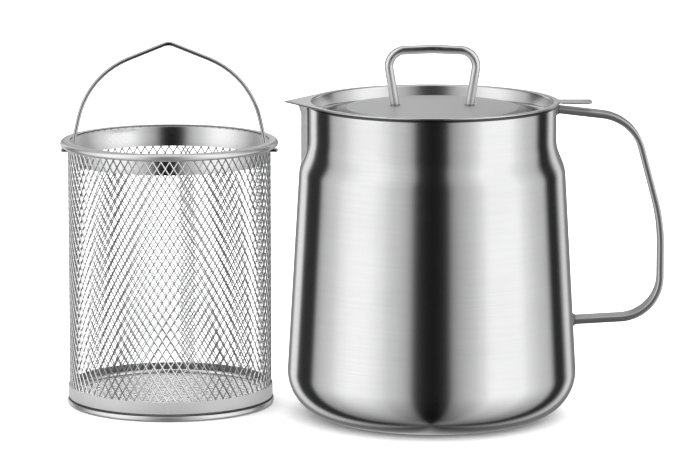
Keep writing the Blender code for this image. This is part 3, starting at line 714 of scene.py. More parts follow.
def strand(shape, basket, heights, side, column, first, last, radius, width):
    """One strand of the mesh between two levels, swelling at every knot and passing round the bail's ends."""
    low, high = heights
    step = (high - low) / basket.mesh_levels
    levels = np.arange(round(first * 2), round(last * 2) + 1) / 2
    angles = (column + side * levels / 2) * TAU / basket.mesh_columns
    z = high - levels * step
    centre = basket_centre()
    out = np.column_stack([np.cos(angles), np.sin(angles), np.zeros_like(angles)])
    path = out * radius + np.column_stack([np.tile(centre, (len(z), 1)), z])
    pivot = np.array([centre[1], basket.height - basket.bail_pivot_depth])
    off = path[:, 1:] - pivot
    away = np.linalg.norm(off, axis=1)
    clearance = 0.0004
    room = basket.bail_wire + width / 2 + clearance
    near = (away < room) & (away > 0)
    path[near, 1:] = pivot + off[near] / away[near][:, None] * room
    half_u, half_v = basket.strand_depth / 2, width / 2
    section = np.array([(half_u, 0.75 * half_v), (half_u, -0.75 * half_v), (0, -half_v)])
    section = np.concatenate([section, -section])
    twist = -side * basket.strand_twist
    cosine, sine = math.cos(twist), math.sin(twist)
    section = section @ np.array([[cosine, sine], [-sine, cosine]])
    knot, waist = 1.16, 0.94
    swell = np.where(levels % 1 == 0, knot, waist)
    # Faces 1 to 5 are the edges and the inner side, painted dark as shade by the second material.
    sweep(shape, path, out, section, swell, cut=(1, 2, 3, 4, 5))


def mesh_wall(material, shade_painted_material):
    """The rolled expanded metal, its strands leaning both ways and joined at every knot."""
    basket = sizes("strainer_basket")
    middle = basket.mesh_radius - basket.mesh_sheet / 2
    heights = [corner.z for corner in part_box("mesh_wall")]
    shape = Shape()
    for column in range(basket.mesh_columns):
        for side, width, lift in ((1, basket.broad_strand, 0.00005), (-1, basket.slim_strand, -0.00008)):
            strand(shape, basket, heights, side, column, 0, basket.mesh_levels, middle + lift, width)
    shape.make(
        "mesh_wall_fine", material, "basket", "mesh_steel", "mesh_wall", shade_painted_material=shade_painted_material
    )


def mesh_seam(material, shade_painted_material):
    """The strip where the sheet's two ends lie over each other, a second layer of strands."""
    basket = sizes("strainer_basket")
    layers = 1.7
    radius = basket.mesh_radius - basket.mesh_sheet * layers
    half = basket.seam_width / 2 / radius
    pitch, shift, shortest = TAU / basket.mesh_columns, 0.42, 0.9
    top_level, bottom_level = 3.2, basket.mesh_levels - 1.5
    heights = [corner.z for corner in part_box("mesh_wall")]
    shape = Shape()
    for column in range(-basket.mesh_columns, basket.mesh_columns):
        for side, width in ((1, basket.broad_strand), (-1, basket.slim_strand)):
            start = (basket.seam_angle - side * half) / pitch - (column + shift)
            end = (basket.seam_angle + side * half) / pitch - (column + shift)
            first, last = max(2 * side * start, top_level), min(2 * side * end, bottom_level)
            if last - first > shortest:
                strand(shape, basket, heights, side, column + shift, first, last, radius, width)
    shape.make(
        "mesh_seam_fine", material, "basket", "mesh_steel", "mesh_seam", shade_painted_material=shade_painted_material
    )


def net_bore(basket):
    """The outer radius of what stands inside the mesh."""
    return basket.mesh_radius - basket.mesh_sheet - SEAT_GAP


def floor_wires(shape, basket, reach, z):
    """The floor's woven wires, each going over and under those that cross it."""
    pitch, radius = basket.floor_pitch, basket.floor_wire
    centre = basket_centre()
    lines = int(reach / pitch)
    for lean in (math.radians(32), math.radians(148)):
        ahead = np.array([math.cos(lean), math.sin(lean)])
        across = np.array([-ahead[1], ahead[0]])
        for line in range(-lines, lines + 1):
            off = line * pitch
            half = math.sqrt(max(reach**2 - off**2, 0))
            steps = int(half / (pitch / 2))
            if steps < 2:
                continue
            runs = np.arange(-steps, steps + 1) * pitch / 2
            rise = radius * 0.85 * np.cos(runs / pitch * math.pi + line * math.pi)
            rise *= 1 if lean < 1 else -1
            flat = centre + runs[:, None] * ahead + off * across
            path = np.column_stack([flat, z + rise])
            sweep(shape, path, (0, 0, 1), circle(radius, 5, 0.3))


def basket_floor(material):
    """The woven floor inside its plain rim."""
    basket = sizes("strainer_basket")
    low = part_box("base_mesh")[0].z
    outer = net_bore(basket)
    inner = outer - basket.floor_rim_width
    middle = low + basket.floor_rim / 2
    into_rim, edge = 0.0008, 0.0004
    shape = Shape()
    floor_wires(shape, basket, inner + into_rim, middle)
    half = basket.floor_rim_width / 2, basket.floor_rim / 2
    section = rounded_box(*half, edge, 3) + ((outer + inner) / 2, middle)
    turned(shape, section, basket_centre())
    shape.make("base_mesh_fine", material, "basket", "mesh_steel", "base_mesh", crease=75)


def turned_piece(name, outline, material):
    """A ring of the basket, turned from its outline."""
    shape = Shape()
    turned(shape, outline, basket_centre(), RING_STEPS)
    return shape.make(name + "_fine", material, "basket", "bright_steel", name)


def band_outline(name, outer, sheet, edge, steps):
    """The outline of a plain band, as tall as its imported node."""
    low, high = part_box(name)
    half = sheet / 2
    return rounded_box(half, (high.z - low.z) / 2, edge, steps) + (outer - half, (high.z + low.z) / 2)


def rim_ring(material):
    """The rolled rim, its lip reaching in over the mesh and the upper band."""
    basket = sizes("strainer_basket")
    roll = basket.roll_radius
    roll_x, roll_z = basket.rim_reach - roll, basket.height - roll
    lip_under = basket.height - basket.rim_lip
    lip_angle = math.degrees(math.asin((lip_under - roll_z) / roll))
    lip_x = net_bore(basket) - basket.band_sheet
    edge = basket.rim_lip / 2
    outline = arc((roll_x, roll_z), roll, 90, -180 - lip_angle, 36)
    outline += arc((lip_x + edge, basket.height - edge), edge, 270, 90, 6)
    turned_piece("rim_ring", outline, material)


def upper_band(material):
    """The plain band inside the mesh, bored for the bail's two ends."""
    basket = sizes("strainer_basket")
    outer = net_bore(basket)
    outline = band_outline("upper_band", outer, basket.band_sheet, 0.00015, 2)
    item = turned_piece("upper_band", outline, material)
    x, y = basket_centre()
    z = basket.height - basket.bail_pivot_depth
    reach = outer + 0.004
    bore = Shape()
    hole = circle(basket.bail_wire + SEAT_GAP, 24)
    sweep(bore, [(x - reach, y, z), (x + reach, y, z)], (0, 0, 1), hole)
    cutter = bore.make("bail_bore", material, "basket", "bright_steel")
    cut = item.modifiers.new("bail_holes", "BOOLEAN")
    cut.operation = "DIFFERENCE"
    cut.solver = "EXACT"
    cut.object = cutter
    mesh = bpy.data.meshes.new_from_object(item.evaluated_get(bpy.context.evaluated_depsgraph_get()))
    item.modifiers.clear()
    item.data = mesh
    bpy.data.objects.remove(cutter)


def lower_band(material):
    """The plain band outside the mesh."""
    low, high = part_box("lower_band")
    sheet = sizes("strainer_basket").band_sheet
    outline = band_outline("lower_band", (high.x - low.x) / 2, sheet, 0.00018, 3)
    turned_piece("lower_band", outline, material)


def base_ring(material):
    """The bead that the basket stands on, with a ledge under the floor."""
    basket = sizes("strainer_basket")
    outer = basket.mesh_radius + basket.base_ring_overhang
    inner = basket.mesh_radius - basket.mesh_sheet - basket.base_ring_ledge
    edge, ledge_edge, height = basket.base_ring_edge, 0.0004, basket.base_ring_height
    outline = arc((outer - edge, height - edge), edge, 90, 0, 8)
    outline += arc((outer - edge, edge), edge, 0, -90, 8)
    outline += arc((inner + ledge_edge, ledge_edge), ledge_edge, 270, 180, 3)
    outline += arc((inner + ledge_edge, height - ledge_edge), ledge_edge, 180, 90, 3)
    turned_piece("base_ring", outline, material)


def base_hoop(material):
    """The wire hoop that holds the floor down."""
    basket = sizes("strainer_basket")
    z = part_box("base_hoop")[0].z + basket.hoop_wire
    outline = circle(basket.hoop_wire, 14) + (net_bore(basket) - basket.hoop_wire, z)
    turned_piece("base_hoop", outline, material)


def bail(material):
    """The bent wire handle, its ends turned out through the band."""
    basket = sizes("strainer_basket")
    peak = basket.bail_pivot_depth + basket.bail_rise
    knee = (basket.bail_half_width, basket.bail_pivot_depth)
    shoulder = meet((0, peak), -basket.bail_peak_slope, knee, math.pi / 2 + basket.bail_leg_lean)
    side = [
        (*shoulder, basket.bail_shoulder_bend),
        (*knee, basket.bail_knee_bend),
        (basket.bail_half_width, 0, basket.bail_foot_bend),
        (basket.rim_reach, 0, 0),
    ]
    other = [(-x, z, bend) for x, z, bend in reversed(side)]
    centre = basket_centre()
    z = basket.height - basket.bail_pivot_depth
    path = upright(bent_path(other + [(0, peak, basket.bail_peak_bend)] + side), *centre, z)
    shape = Shape()
    rounded_rod(shape, path, (0, 1, 0), basket.bail_wire, 18)
    shape.make("bail_fine", material, "bail", "bright_steel", "bail")


# Finishes


def node(tree, kind, settings=None, feeds=None):
    """A shader node; feeds gives each named or numbered input a value or a socket."""
    item = tree.nodes.new(kind)
    for key, value in (settings or {}).items():
        setattr(item, key, value)
    for key, value in (feeds or {}).items():
        if isinstance(value, bpy.types.NodeSocket):
            tree.links.new(value, item.inputs[key])
        else:
            item.inputs[key].default_value = value
    return item


def calc(tree, operation, *values):
    """The result of a math node."""
    return node(tree, "ShaderNodeMath", {"operation": operation}, dict(enumerate(values))).outputs[0]


def spread(tree, value, low, high, new_low=0.0, new_high=1.0):
    """A value mapped from one range to another, and held within it."""
    feeds = {0: value, 1: low, 2: high, 3: new_low, 4: new_high}
    return node(tree, "ShaderNodeMapRange", None, feeds).outputs[0]


def new_group(name, inputs, outputs):
    """An empty node group with its sockets, and its two end nodes."""
    tree = bpy.data.node_groups.new(name, "ShaderNodeTree")
    for direction, sockets in (("INPUT", inputs), ("OUTPUT", outputs)):
        for socket_name, kind, default in sockets:
            socket = tree.interface.new_socket(
                socket_name, in_out=direction, socket_type="NodeSocket" + kind
            )
            if default is not None:
                socket.default_value = default
    return tree, tree.nodes.new("NodeGroupInput").outputs, tree.nodes.new("NodeGroupOutput").inputs


def surface_point(tree):
    """A place on the piece, in the piece's own coordinates."""
    return node(tree, "ShaderNodeTexCoord").outputs["Object"]


def about_axis(tree, axis):
    """A place measured from an upright axis, and how far it is from that axis."""
    feeds = {0: surface_point(tree), 1: axis}
    off = node(tree, "ShaderNodeVectorMath", {"operation": "SUBTRACT"}, feeds)
    x, y, z = node(tree, "ShaderNodeSeparateXYZ", None, {0: off.outputs[0]}).outputs
    squares = calc(tree, "ADD", calc(tree, "POWER", x, 2.0), calc(tree, "POWER", y, 2.0))
    return x, y, z, calc(tree, "SQRT", squares)


def noise(tree, place, scale, detail, **more):
    """Soft noise over a surface."""
    feeds = {"Vector": place, "Scale": scale, "Detail": detail, **more}
    return node(tree, "ShaderNodeTexNoise", None, feeds).outputs["Fac"]


def spun_lines_group():
    """Fine lines that run round an upright axis, as spinning and brushing leave them."""
    inputs = (("Axis", "Vector", (0, 0, 0)), ("Fineness", "Float", 2600.0))
    outputs = (("Lines", "Float", None), ("Streaks", "Float", None))
    tree, given, wanted = new_group("spun_lines", inputs, outputs)
    x, y, z, reach = about_axis(tree, given["Axis"])
    run = calc(tree, "ADD", z, reach)
    for output, along_scale, part, detail in (("Lines", 26.0, 1.0, 3.0), ("Streaks", 10.0, 0.28, 2.0)):
        fineness = calc(tree, "MULTIPLY", given["Fineness"], part)
        parts = (
            calc(tree, "MULTIPLY", x, along_scale),
            calc(tree, "MULTIPLY", y, along_scale),
            calc(tree, "MULTIPLY", run, fineness),
        )
        place = node(tree, "ShaderNodeCombineXYZ", None, dict(enumerate(parts))).outputs[0]
        lines = noise(tree, place, 1.0, detail, Roughness=0.6)
        tree.links.new(spread(tree, lines, 0.3, 0.7), wanted[output])
    return tree


def tone_drift_group():
    """Slow changes of tone over a surface, and faint smudges from handling."""
    inputs = (("Scale", "Float", 30.0),)
    outputs = (("Tone", "Float", None), ("Smudge", "Float", None))
    tree, given, wanted = new_group("tone_drift", inputs, outputs)
    place = surface_point(tree)
    tone = noise(tree, place, given["Scale"], 3.0)
    tree.links.new(spread(tree, tone, 0.32, 0.68), wanted["Tone"])
    finer = calc(tree, "MULTIPLY", given["Scale"], 4.3)
    smudge = noise(tree, place, finer, 5.0, Distortion=0.6)
    tree.links.new(spread(tree, smudge, 0.55, 0.75), wanted["Smudge"])
    return tree


def edge_wear_group():
    """Where edges are rubbed bright, broken up by fine noise."""
    inputs = (("Sharpness", "Float", 0.53), ("Grain", "Float", 900.0))
    tree, given, wanted = new_group("edge_wear", inputs, (("Wear", "Float", None),))
    edge = node(tree, "ShaderNodeNewGeometry").outputs["Pointiness"]
    end = calc(tree, "ADD", given["Sharpness"], 0.05)
    grain = noise(tree, surface_point(tree), given["Grain"], 2.0)
    rubbed = spread(tree, edge, given["Sharpness"], end)
    tree.links.new(calc(tree, "MULTIPLY", rubbed, spread(tree, grain, 0.3, 0.6)), wanted["Wear"])
    return tree


def heat_tint_group():
    """A halo round a spot, as a weld leaves it."""
    inputs = (("Spot", "Vector", (0, 0, 0)), ("Reach", "Float", 0.006))
    tree, given, wanted = new_group("heat_tint", inputs, (("Heat", "Float", None),))
    place = surface_point(tree)
    away = node(tree, "ShaderNodeVectorMath", {"operation": "DISTANCE"}, {0: place, 1: given["Spot"]})
    grain = calc(tree, "MULTIPLY", noise(tree, place, 700.0, 2.0), 0.4)
    ragged = calc(tree, "MULTIPLY", away.outputs["Value"], calc(tree, "ADD", 0.8, grain))
    part = calc(tree, "DIVIDE", ragged, given["Reach"])
    tree.links.new(spread(tree, part, 0.35, 1.0, 1.0, 0.0), wanted["Heat"])
    return tree


def turned_zone_group():
    """A zone about an upright axis, between two radii and two heights."""
    names = ("Inner", "Outer", "Low", "High")
    inputs = [("Axis", "Vector", (0, 0, 0))] + [(name, "Float", 0.0) for name in names]
    tree, given, wanted = new_group("turned_zone", inputs, (("Zone", "Float", None),))
    _, _, z, reach = about_axis(tree, given["Axis"])
    soft = 0.0001
    zone = 1.0
    for value, low, high in ((reach, "Inner", "Outer"), (z, "Low", "High")):
        after = calc(tree, "DIVIDE", calc(tree, "SUBTRACT", value, given[low]), soft)
        before = calc(tree, "DIVIDE", calc(tree, "SUBTRACT", given[high], value), soft)
        inside = calc(tree, "MINIMUM", spread(tree, after, -1.0, 1.0), spread(tree, before, -1.0, 1.0))
        zone = calc(tree, "MULTIPLY", zone, inside)
    tree.links.new(zone, wanted["Zone"])
    return tree


def pressed_beak_group():
    """The beak's two flanks, left satin by the press, and a line of painted shade along each crease."""
    inputs = (("Half Width", "Float", 0.008), ("Foot", "Float", 0.12))
    outputs = (("Flank", "Float", None), ("Crease Shade", "Float", None))
    tree, given, wanted = new_group("pressed_beak", inputs, outputs)
    x, y, z = node(tree, "ShaderNodeSeparateXYZ", None, {0: surface_point(tree)}).outputs
    off = calc(tree, "SUBTRACT", calc(tree, "ABSOLUTE", y), given["Half Width"])
    above = spread(tree, calc(tree, "SUBTRACT", z, given["Foot"]), 0.0, 0.006)
    at_beak = calc(tree, "MULTIPLY", spread(tree, x, -0.04, -0.05), above)
    tree.links.new(calc(tree, "MULTIPLY", spread(tree, off, 0.0, -0.0009), at_beak), wanted["Flank"])
    # Painted shade: a thin dark line on the flank side of each crease.
    line = spread(tree, calc(tree, "ABSOLUTE", calc(tree, "ADD", off, 0.0005)), 0.0012, 0.0007)
    tree.links.new(calc(tree, "MULTIPLY", line, at_beak), wanted["Crease Shade"])
    return tree


GROUP_MAKERS = {
    "spun_lines": spun_lines_group,
    "tone_drift": tone_drift_group,
    "edge_wear": edge_wear_group,
    "heat_tint": heat_tint_group,
    "turned_zone": turned_zone_group,
    "pressed_beak": pressed_beak_group,
}


def effect(tree, name, feeds=None):
    """A shared effect placed in a material with its own values."""
    shared = bpy.data.node_groups.get(name) or GROUP_MAKERS[name]()
    return node(tree, "ShaderNodeGroup", {"node_tree": shared}, feeds).outputs


def mixed(tree, part, first, second):
    """A colour between two, each a colour or a socket."""
    feeds = {"Factor": part, 6: first, 7: second}
    return node(tree, "ShaderNodeMix", {"data_type": "RGBA"}, feeds).outputs[2]


def shaded(colour, amount):
    """A colour made darker or lighter, with full alpha."""
    return (*(min(1.0, c * amount) for c in colour), 1.0)


def steel(
    name, colour, roughness, axis=None, fineness=2600.0, lines=0.25, wear=0.5, drift=30.0, marks=(),
    brushed=0.0, across=0.25, relief=0.00002, metal=1.0,
):
    """A steel finish: grain, slow tone changes, smudges, rubbed edges and marks of its own.

    A mark is its mask, its strength, its colour, the roughness it adds and the metal it takes away.
    """
    found = bpy.data.materials.get(name)
    if found:
        return found
    material = bpy.data.materials.new(name)
    material.use_nodes = True
    tree = material.node_tree
    shader = tree.nodes["Principled BSDF"]
    shader.inputs["Metallic"].default_value = metal
    shader.inputs["Anisotropic"].default_value = brushed
    shader.inputs["Anisotropic Rotation"].default_value = across
    tone = effect(tree, "tone_drift", {"Scale": drift})
    base = mixed(tree, tone["Tone"], shaded(colour, 0.965), shaded(colour, 1.02))
    rough = spread(tree, tone["Smudge"], 0.0, 1.0, roughness, roughness + 0.02)
    if axis is not None:
        grain = effect(tree, "spun_lines", {"Axis": (*axis, 0.0), "Fineness": fineness})
        fine, streaks = grain["Lines"], grain["Streaks"]
    else:
        fine = noise(tree, surface_point(tree), fineness, 3.0)
        streaks = tone["Tone"]
    both = calc(tree, "ADD", calc(tree, "MULTIPLY", fine, 0.75), calc(tree, "MULTIPLY", streaks, 0.25))
    base = mixed(tree, calc(tree, "MULTIPLY", both, lines), base, shaded(colour, 0.72))
    rough = calc(tree, "ADD", rough, calc(tree, "MULTIPLY", both, 0.03))
    worn = effect(tree, "edge_wear")["Wear"]
    base = mixed(tree, calc(tree, "MULTIPLY", worn, wear), base, shaded(colour, 1.16))
    gleam = metal
    for mark, strength, tinted, dulled, frosted in marks:
        mask = calc(tree, "MULTIPLY", mark(tree), strength)
        base = mixed(tree, mask, base, (*tinted, 1.0))
        rough = calc(tree, "ADD", rough, calc(tree, "MULTIPLY", mask, dulled))
        if frosted:
            gleam = calc(tree, "SUBTRACT", gleam, calc(tree, "MULTIPLY", mask, frosted))
            tree.links.new(gleam, shader.inputs["Metallic"])
    tree.links.new(base, shader.inputs["Base Color"])
    tree.links.new(rough, shader.inputs["Roughness"])
    bump = node(tree, "ShaderNodeBump", None, {"Strength": 0.12, "Distance": relief, "Height": fine})
    tree.links.new(bump.outputs[0], shader.inputs["Normal"])
    return material


STRAW = (0.42, 0.39, 0.35)
# Painted shade: the dark tone laid into creases, gaps, the top of the pot's rim and the lower band's inner
# side, where shade falls.
PAINTED_SHADE = (0.10, 0.10, 0.10)


def heat_mark(spot, reach):
    """A weld's halo about a spot."""
    return lambda tree: effect(tree, "heat_tint", {"Spot": spot, "Reach": reach})["Heat"]


def zone_mark(axis, inner, outer, low, high):
    """A zone about an axis, between two radii and two heights."""
    feeds = {"Axis": (*axis, 0.0), "Inner": inner, "Outer": outer, "Low": low, "High": high}
    return lambda tree: effect(tree, "turned_zone", feeds)["Zone"]


def beak_mark(part):
    """The beak's flanks or the painted shade along its creases."""
    pot = sizes("strainer_pot")
    foot = pot.height - pot.neck_length - pot.shoulder_length + 0.004
    half = pot.neck_radius * math.sin(pot.beak_half_angle)
    return lambda tree: effect(tree, "pressed_beak", {"Half Width": half, "Foot": foot})[part]


def shell_steel():
    """Steel brushed round the pot's axis, satin at the beak, with painted shade along the beak's creases and
    a painted shadow line round the top of the rim, just under the lid's flange.
    """
    finish, pot = sizes("strainer_finishes"), sizes("strainer_pot")
    reach = pot.neck_radius - 0.002, pot.beak_lip_reach + 0.001
    # Painted shadow: a dark band round the top of the rim, just under the lid's flange.
    rim_shadow_line = zone_mark((0, 0), *reach, pot.height - 0.0012, pot.height + 0.001)
    marks = (
        (beak_mark("Flank"), 1.0, finish.brushed, 0.36, 0.22),
        # Painted shade: a dark line along each of the beak's creases.
        (beak_mark("Crease Shade"), 0.85, PAINTED_SHADE, 0.1, 0.0),
        (rim_shadow_line, 1.0, PAINTED_SHADE, 0.2, 0.0),
    )
    return steel(
        "brushed_shell_steel", finish.brushed, finish.brushed_roughness, (0, 0), 2200.0, 0.16,
        marks=marks, brushed=0.6,
    )


def knob_feet():
    """The halos round the knob's two feet."""
    lid = sizes("strainer_lid")
    spots = [(side * lid.knob_foot, 0, foot_height(lid)) for side in (-1, 1)]
    return tuple((heat_mark(spot, 0.0045), 0.4, STRAW, 0.1, 0.0) for spot in spots)


def lid_steel():
    """Steel spun about the lid's axis, satin on the raised middle and tinted by the knob's welds."""
    finish, lid = sizes("strainer_finishes"), sizes("strainer_lid")
    top = top_of("lid_pan")
    middle = zone_mark((0, 0), -1.0, lid.plateau_radius - 0.001, top - lid.plateau_depth - 0.0004, top)
    marks = ((middle, 1.0, finish.satin_lid, finish.satin_middle, 0.14), *knob_feet())
    return steel(
        "spun_lid_steel", finish.brushed, finish.brushed_roughness + 0.07, (0, 0), 2100.0, 0.2, marks=marks
    )


def rod_steel():
    """Polished steel of the knob, satin down its legs and dull at its welded feet."""
    finish, lid = sizes("strainer_finishes"), sizes("strainer_lid")
    feet = [(side * lid.knob_foot, 0, foot_height(lid)) for side in (-1, 1)]
    legs = [(heat_mark(foot, 0.036), 1.0, finish.bright, 0.24, 0.05) for foot in feet]
    return steel(
        "polished_rod_steel", finish.bright, finish.bright_roughness + 0.03, None, 1800.0, 0.18,
        marks=(*legs, *knob_feet()),
    )


def strip_steel():
    """Satin steel of the handle strip."""
    finish, pot = sizes("strainer_finishes"), sizes("strainer_pot")
    spots = ((pot.neck_radius, 0, pot.handle_top), (pot.foot_radius, 0, pot.handle_bottom))
    marks = tuple((heat_mark(spot, 0.0055), 0.3, STRAW, 0.1, 0.0) for spot in spots)
    return steel("satin_strip_steel", finish.satin, finish.satin_roughness, None, 1500.0, 0.2, marks=marks)


def wire_steel():
    """Drawn steel of the bail."""
    finish = sizes("strainer_finishes")
    return steel("drawn_wire_steel", finish.drawn, finish.bright_roughness, None, 2400.0, 0.2)


def crevice_shade_mark(basket):
    """The painted shade line where the lower band meets the bead."""
    reach, foot = basket.mesh_radius, basket.base_ring_height
    return zone_mark(basket_centre(), reach - 0.0005, reach + 0.0010, foot - 0.0004, foot + 0.0008)


def ring_steel():
    """Rolled steel of the basket's rings, with painted shade along the rim's inner edge and a painted shade
    line over the bead.
    """
    finish, basket = sizes("strainer_finishes"), sizes("strainer_basket")
    lip, top = net_bore(basket) - basket.band_sheet, basket.height
    # Painted shade: a dark line along the rim's inner edge.
    edge = zone_mark(basket_centre(), lip - 0.001, lip + 0.0003, top - 0.001, top + 0.001)
    marks = ((edge, 0.85, PAINTED_SHADE, 0.1, 0.0), (crevice_shade_mark(basket), 1.0, PAINTED_SHADE, 0.2, 0.0))
    return steel(
        "rolled_ring_steel", finish.rolled, finish.rolled_roughness, basket_centre(), 3000.0, 0.16,
        marks=marks, metal=0.9,
    )


def upper_band_steel():
    """Rolled steel of the upper band, its fine grain running round, satin about the bail's holes."""
    finish, basket = sizes("strainer_finishes"), sizes("strainer_basket")
    x, y = basket_centre()
    z = basket.height - basket.bail_pivot_depth
    spots = [(x + side * basket.mesh_radius, y, z) for side in (-1, 1)]
    marks = [(heat_mark(spot, 0.052), 1.0, finish.rolled, 0.3, 0.17) for spot in spots]
    return steel(
        "rolled_band_steel", finish.rolled, finish.rolled_roughness - 0.12, (x, y), 3000.0, 0.2, marks=marks
    )


def lower_band_steel():
    """Satin steel of the lower band, painted dark as shade on its inner side against the mesh and along the
    line where it meets the bead.
    """
    finish, basket = sizes("strainer_finishes"), sizes("strainer_basket")
    # Painted shade: the band's inner side, seen through the mesh, is darkened.
    inside = zone_mark(basket_centre(), 0.0, basket.mesh_radius + 0.0004, -0.01, 0.05)
    marks = ((inside, 0.85, PAINTED_SHADE, 0.1, 0.0), (crevice_shade_mark(basket), 1.0, PAINTED_SHADE, 0.2, 0.0))
    return steel(
        "satin_band_steel", finish.rolled, 0.46, basket_centre(), 3000.0, 0.12,
        marks=marks, brushed=0.9, across=0.0, metal=0.85,
    )


def woven_steel():
    """Steel of the floor's woven wires."""
    finish = sizes("strainer_finishes")
    return steel(
        "woven_wire_steel", finish.strand, finish.strand_roughness, None, 2200.0, 0.25, wear=0.8, drift=60.0
    )


def strand_steel():
    """Frosted steel of the outer sides of the mesh's strands."""
    finish = sizes("strainer_finishes")
    return steel(
        "frosted_strand_steel", finish.frosted, finish.frosted_roughness, None, 2200.0, 0.1,
        drift=60.0, metal=0.9,
    )


def strand_shade_steel():
    """Rough steel of the strands' edges and inner sides, dark as painted shade."""
    finish = sizes("strainer_finishes")
    return steel(
        "shade_painted_strand_steel", finish.strand_shade, finish.strand_shade_roughness, None, 2600.0, 0.4, drift=60.0
    )


def weld_steel():
    """Tarnished steel of the welded joints."""
    finish = sizes("strainer_finishes")
    return steel(
        "tarnished_weld_steel", finish.weld, finish.weld_roughness, None, 2800.0, 0.6, 0.4, 220.0,
        relief=0.00006,
    )


# The stage


STUDIO_BANDS = (
    (-180, 0.74), (-166, 0.24), (-157, 0.34), (-148, 0.90), (-140, 0.78), (-132, 0.05), (-117, 0.03),
    (-110, 0.35), (-104, 0.55), (-90, 0.75), (-78, 1.00), (-62, 1.12), (-48, 1.00), (-36, 0.74),
    (-26, 0.58), (-18, 0.32), (-11, 0.035), (0, 0.012), (9, 0.03), (15, 0.26), (22, 0.46),
    (32, 0.64), (42, 0.90), (54, 1.12), (70, 1.12), (82, 0.94), (98, 0.66), (106, 0.58),
    (114, 0.18), (119, 0.025), (126, 0.025), (132, 0.16), (138, 0.58), (144, 0.76), (150, 0.46),
    (158, 0.22), (165, 0.22), (180, 0.74),
)


def studio_light(world, stage):
    """Soft boxes and dark screens round the object, told by direction, and a white backdrop."""
    world.use_nodes = True
    tree = world.node_tree
    tree.nodes.clear()
    towards = node(tree, "ShaderNodeTexCoord").outputs["Generated"]
    x, y, z = node(tree, "ShaderNodeSeparateXYZ", None, {0: towards}).outputs
    azimuth = calc(tree, "ARCTAN2", x, calc(tree, "MULTIPLY", y, -1.0))
    around = spread(tree, azimuth, -math.pi, math.pi)
    bands = node(tree, "ShaderNodeFloatCurve", None, {"Value": around})
    curve = bands.mapping.curves[0]
    top = max(level for _, level in STUDIO_BANDS)
    places = [((angle + 180) / 360, level / top) for angle, level in STUDIO_BANDS]
    curve.points[0].location = places[0]
    curve.points[1].location = places[-1]
    for place in places[1:-1]:
        curve.points.new(*place)
    for point in curve.points:
        point.handle_type = "AUTO_CLAMPED"
    bands.mapping.update()
    screens = calc(tree, "MULTIPLY", bands.outputs[0], top)
    height = calc(tree, "ARCSINE", z)
    below = spread(tree, height, math.radians(-75), math.radians(-14), 0.22, 1.0)
    screens = calc(tree, "MULTIPLY", screens, below)
    overhead = spread(tree, height, math.radians(60), math.radians(85))
    blend = "ShaderNodeMix", {"data_type": "FLOAT"}
    lit = node(tree, *blend, {"Factor": overhead, 2: screens, 3: 0.95}).outputs[0]
    path = node(tree, "ShaderNodeLightPath").outputs
    by_camera, by_diffuse = path["Is Camera Ray"], path["Is Diffuse Ray"]
    plain = calc(tree, "ADD", by_camera, calc(tree, "MULTIPLY", by_diffuse, stage.light))
    seen = calc(tree, "MINIMUM", calc(tree, "ADD", by_camera, by_diffuse), 1.0)
    strength = node(tree, *blend, {"Factor": seen, 2: lit, 3: plain}).outputs[0]
    glow = node(tree, "ShaderNodeBackground", None, {"Color": (1, 1, 1, 1), "Strength": strength})
    out = tree.nodes.new("ShaderNodeOutputWorld")
    tree.links.new(glow.outputs[0], out.inputs["Surface"])


def pale_floor(stage):
    """A wide pale floor, which catches a faint shadow and stays out of the reflections."""
    finish = sizes("strainer_finishes")
    mesh = bpy.data.meshes.new("stage_floor")
    bm = bmesh.new()
    bmesh.ops.create_grid(bm, x_segments=8, y_segments=8, size=stage.floor_half)
    bm.to_mesh(mesh)
    bm.free()
    floor = bpy.data.objects.new("stage_floor", mesh)
    floor.location.z = -0.0002
    floor.visible_glossy = False
    material = bpy.data.materials.new("pale_floor")
    material.use_nodes = True
    tree = material.node_tree
    shader = tree.nodes["Principled BSDF"]
    shader.inputs["Roughness"].default_value = 0.9
    shader.inputs["Specular IOR Level"].default_value = 0.0
    tone = effect(tree, "tone_drift", {"Scale": 3.0})["Tone"]
    colour = mixed(tree, tone, shaded(finish.floor, 0.995), shaded(finish.floor, 1.0))
    tree.links.new(colour, shader.inputs["Base Color"])
    mesh.materials.append(material)
    bpy.context.scene.collection.objects.link(floor)


def camera(stage):
    """The camera, at the photograph's angle."""
    data = bpy.data.cameras.new("camera")
    data.sensor_width = 36.0
    data.lens = data.sensor_width * stage.distance / stage.view_width
    data.clip_start, data.clip_end = 0.01, 100
    item = bpy.data.objects.new("camera", data)
    rise = stage.elevation
    item.location = (
        stage.aim_x,
        -stage.distance * math.cos(rise),
        stage.aim_z + stage.distance * math.sin(rise),
    )
    item.rotation_euler = (math.pi / 2 - rise, 0, 0)
    bpy.context.scene.collection.objects.link(item)
    bpy.context.scene.camera = item


# The add-on


class STRAINER_OT_pot_shell(bpy.types.Operator):
    """Build the pot's shell with its beak"""

    bl_idname = "strainer.pot_shell"
    bl_label = "Pot Shell"

    def execute(self, context):
        pot_shell(shell_steel())
        return {"FINISHED"}


class STRAINER_OT_pot_handle(bpy.types.Operator):
    """Build the handle strip and its two welded joints"""

    bl_idname = "strainer.pot_handle"
    bl_label = "Pot Handle"

    def execute(self, context):
        pot_handle(strip_steel(), weld_steel())
        return {"FINISHED"}


class STRAINER_OT_lid_pan(bpy.types.Operator):
    """Build the pressed lid"""

    bl_idname = "strainer.lid_pan"
    bl_label = "Lid"

    def execute(self, context):
        lid_pan(lid_steel())
        return {"FINISHED"}


class STRAINER_OT_lid_knob(bpy.types.Operator):
    """Build the lid's knob and its welds"""

    bl_idname = "strainer.lid_knob"
    bl_label = "Lid Knob"

    def execute(self, context):
        lid_knob(rod_steel(), weld_steel())
        return {"FINISHED"}


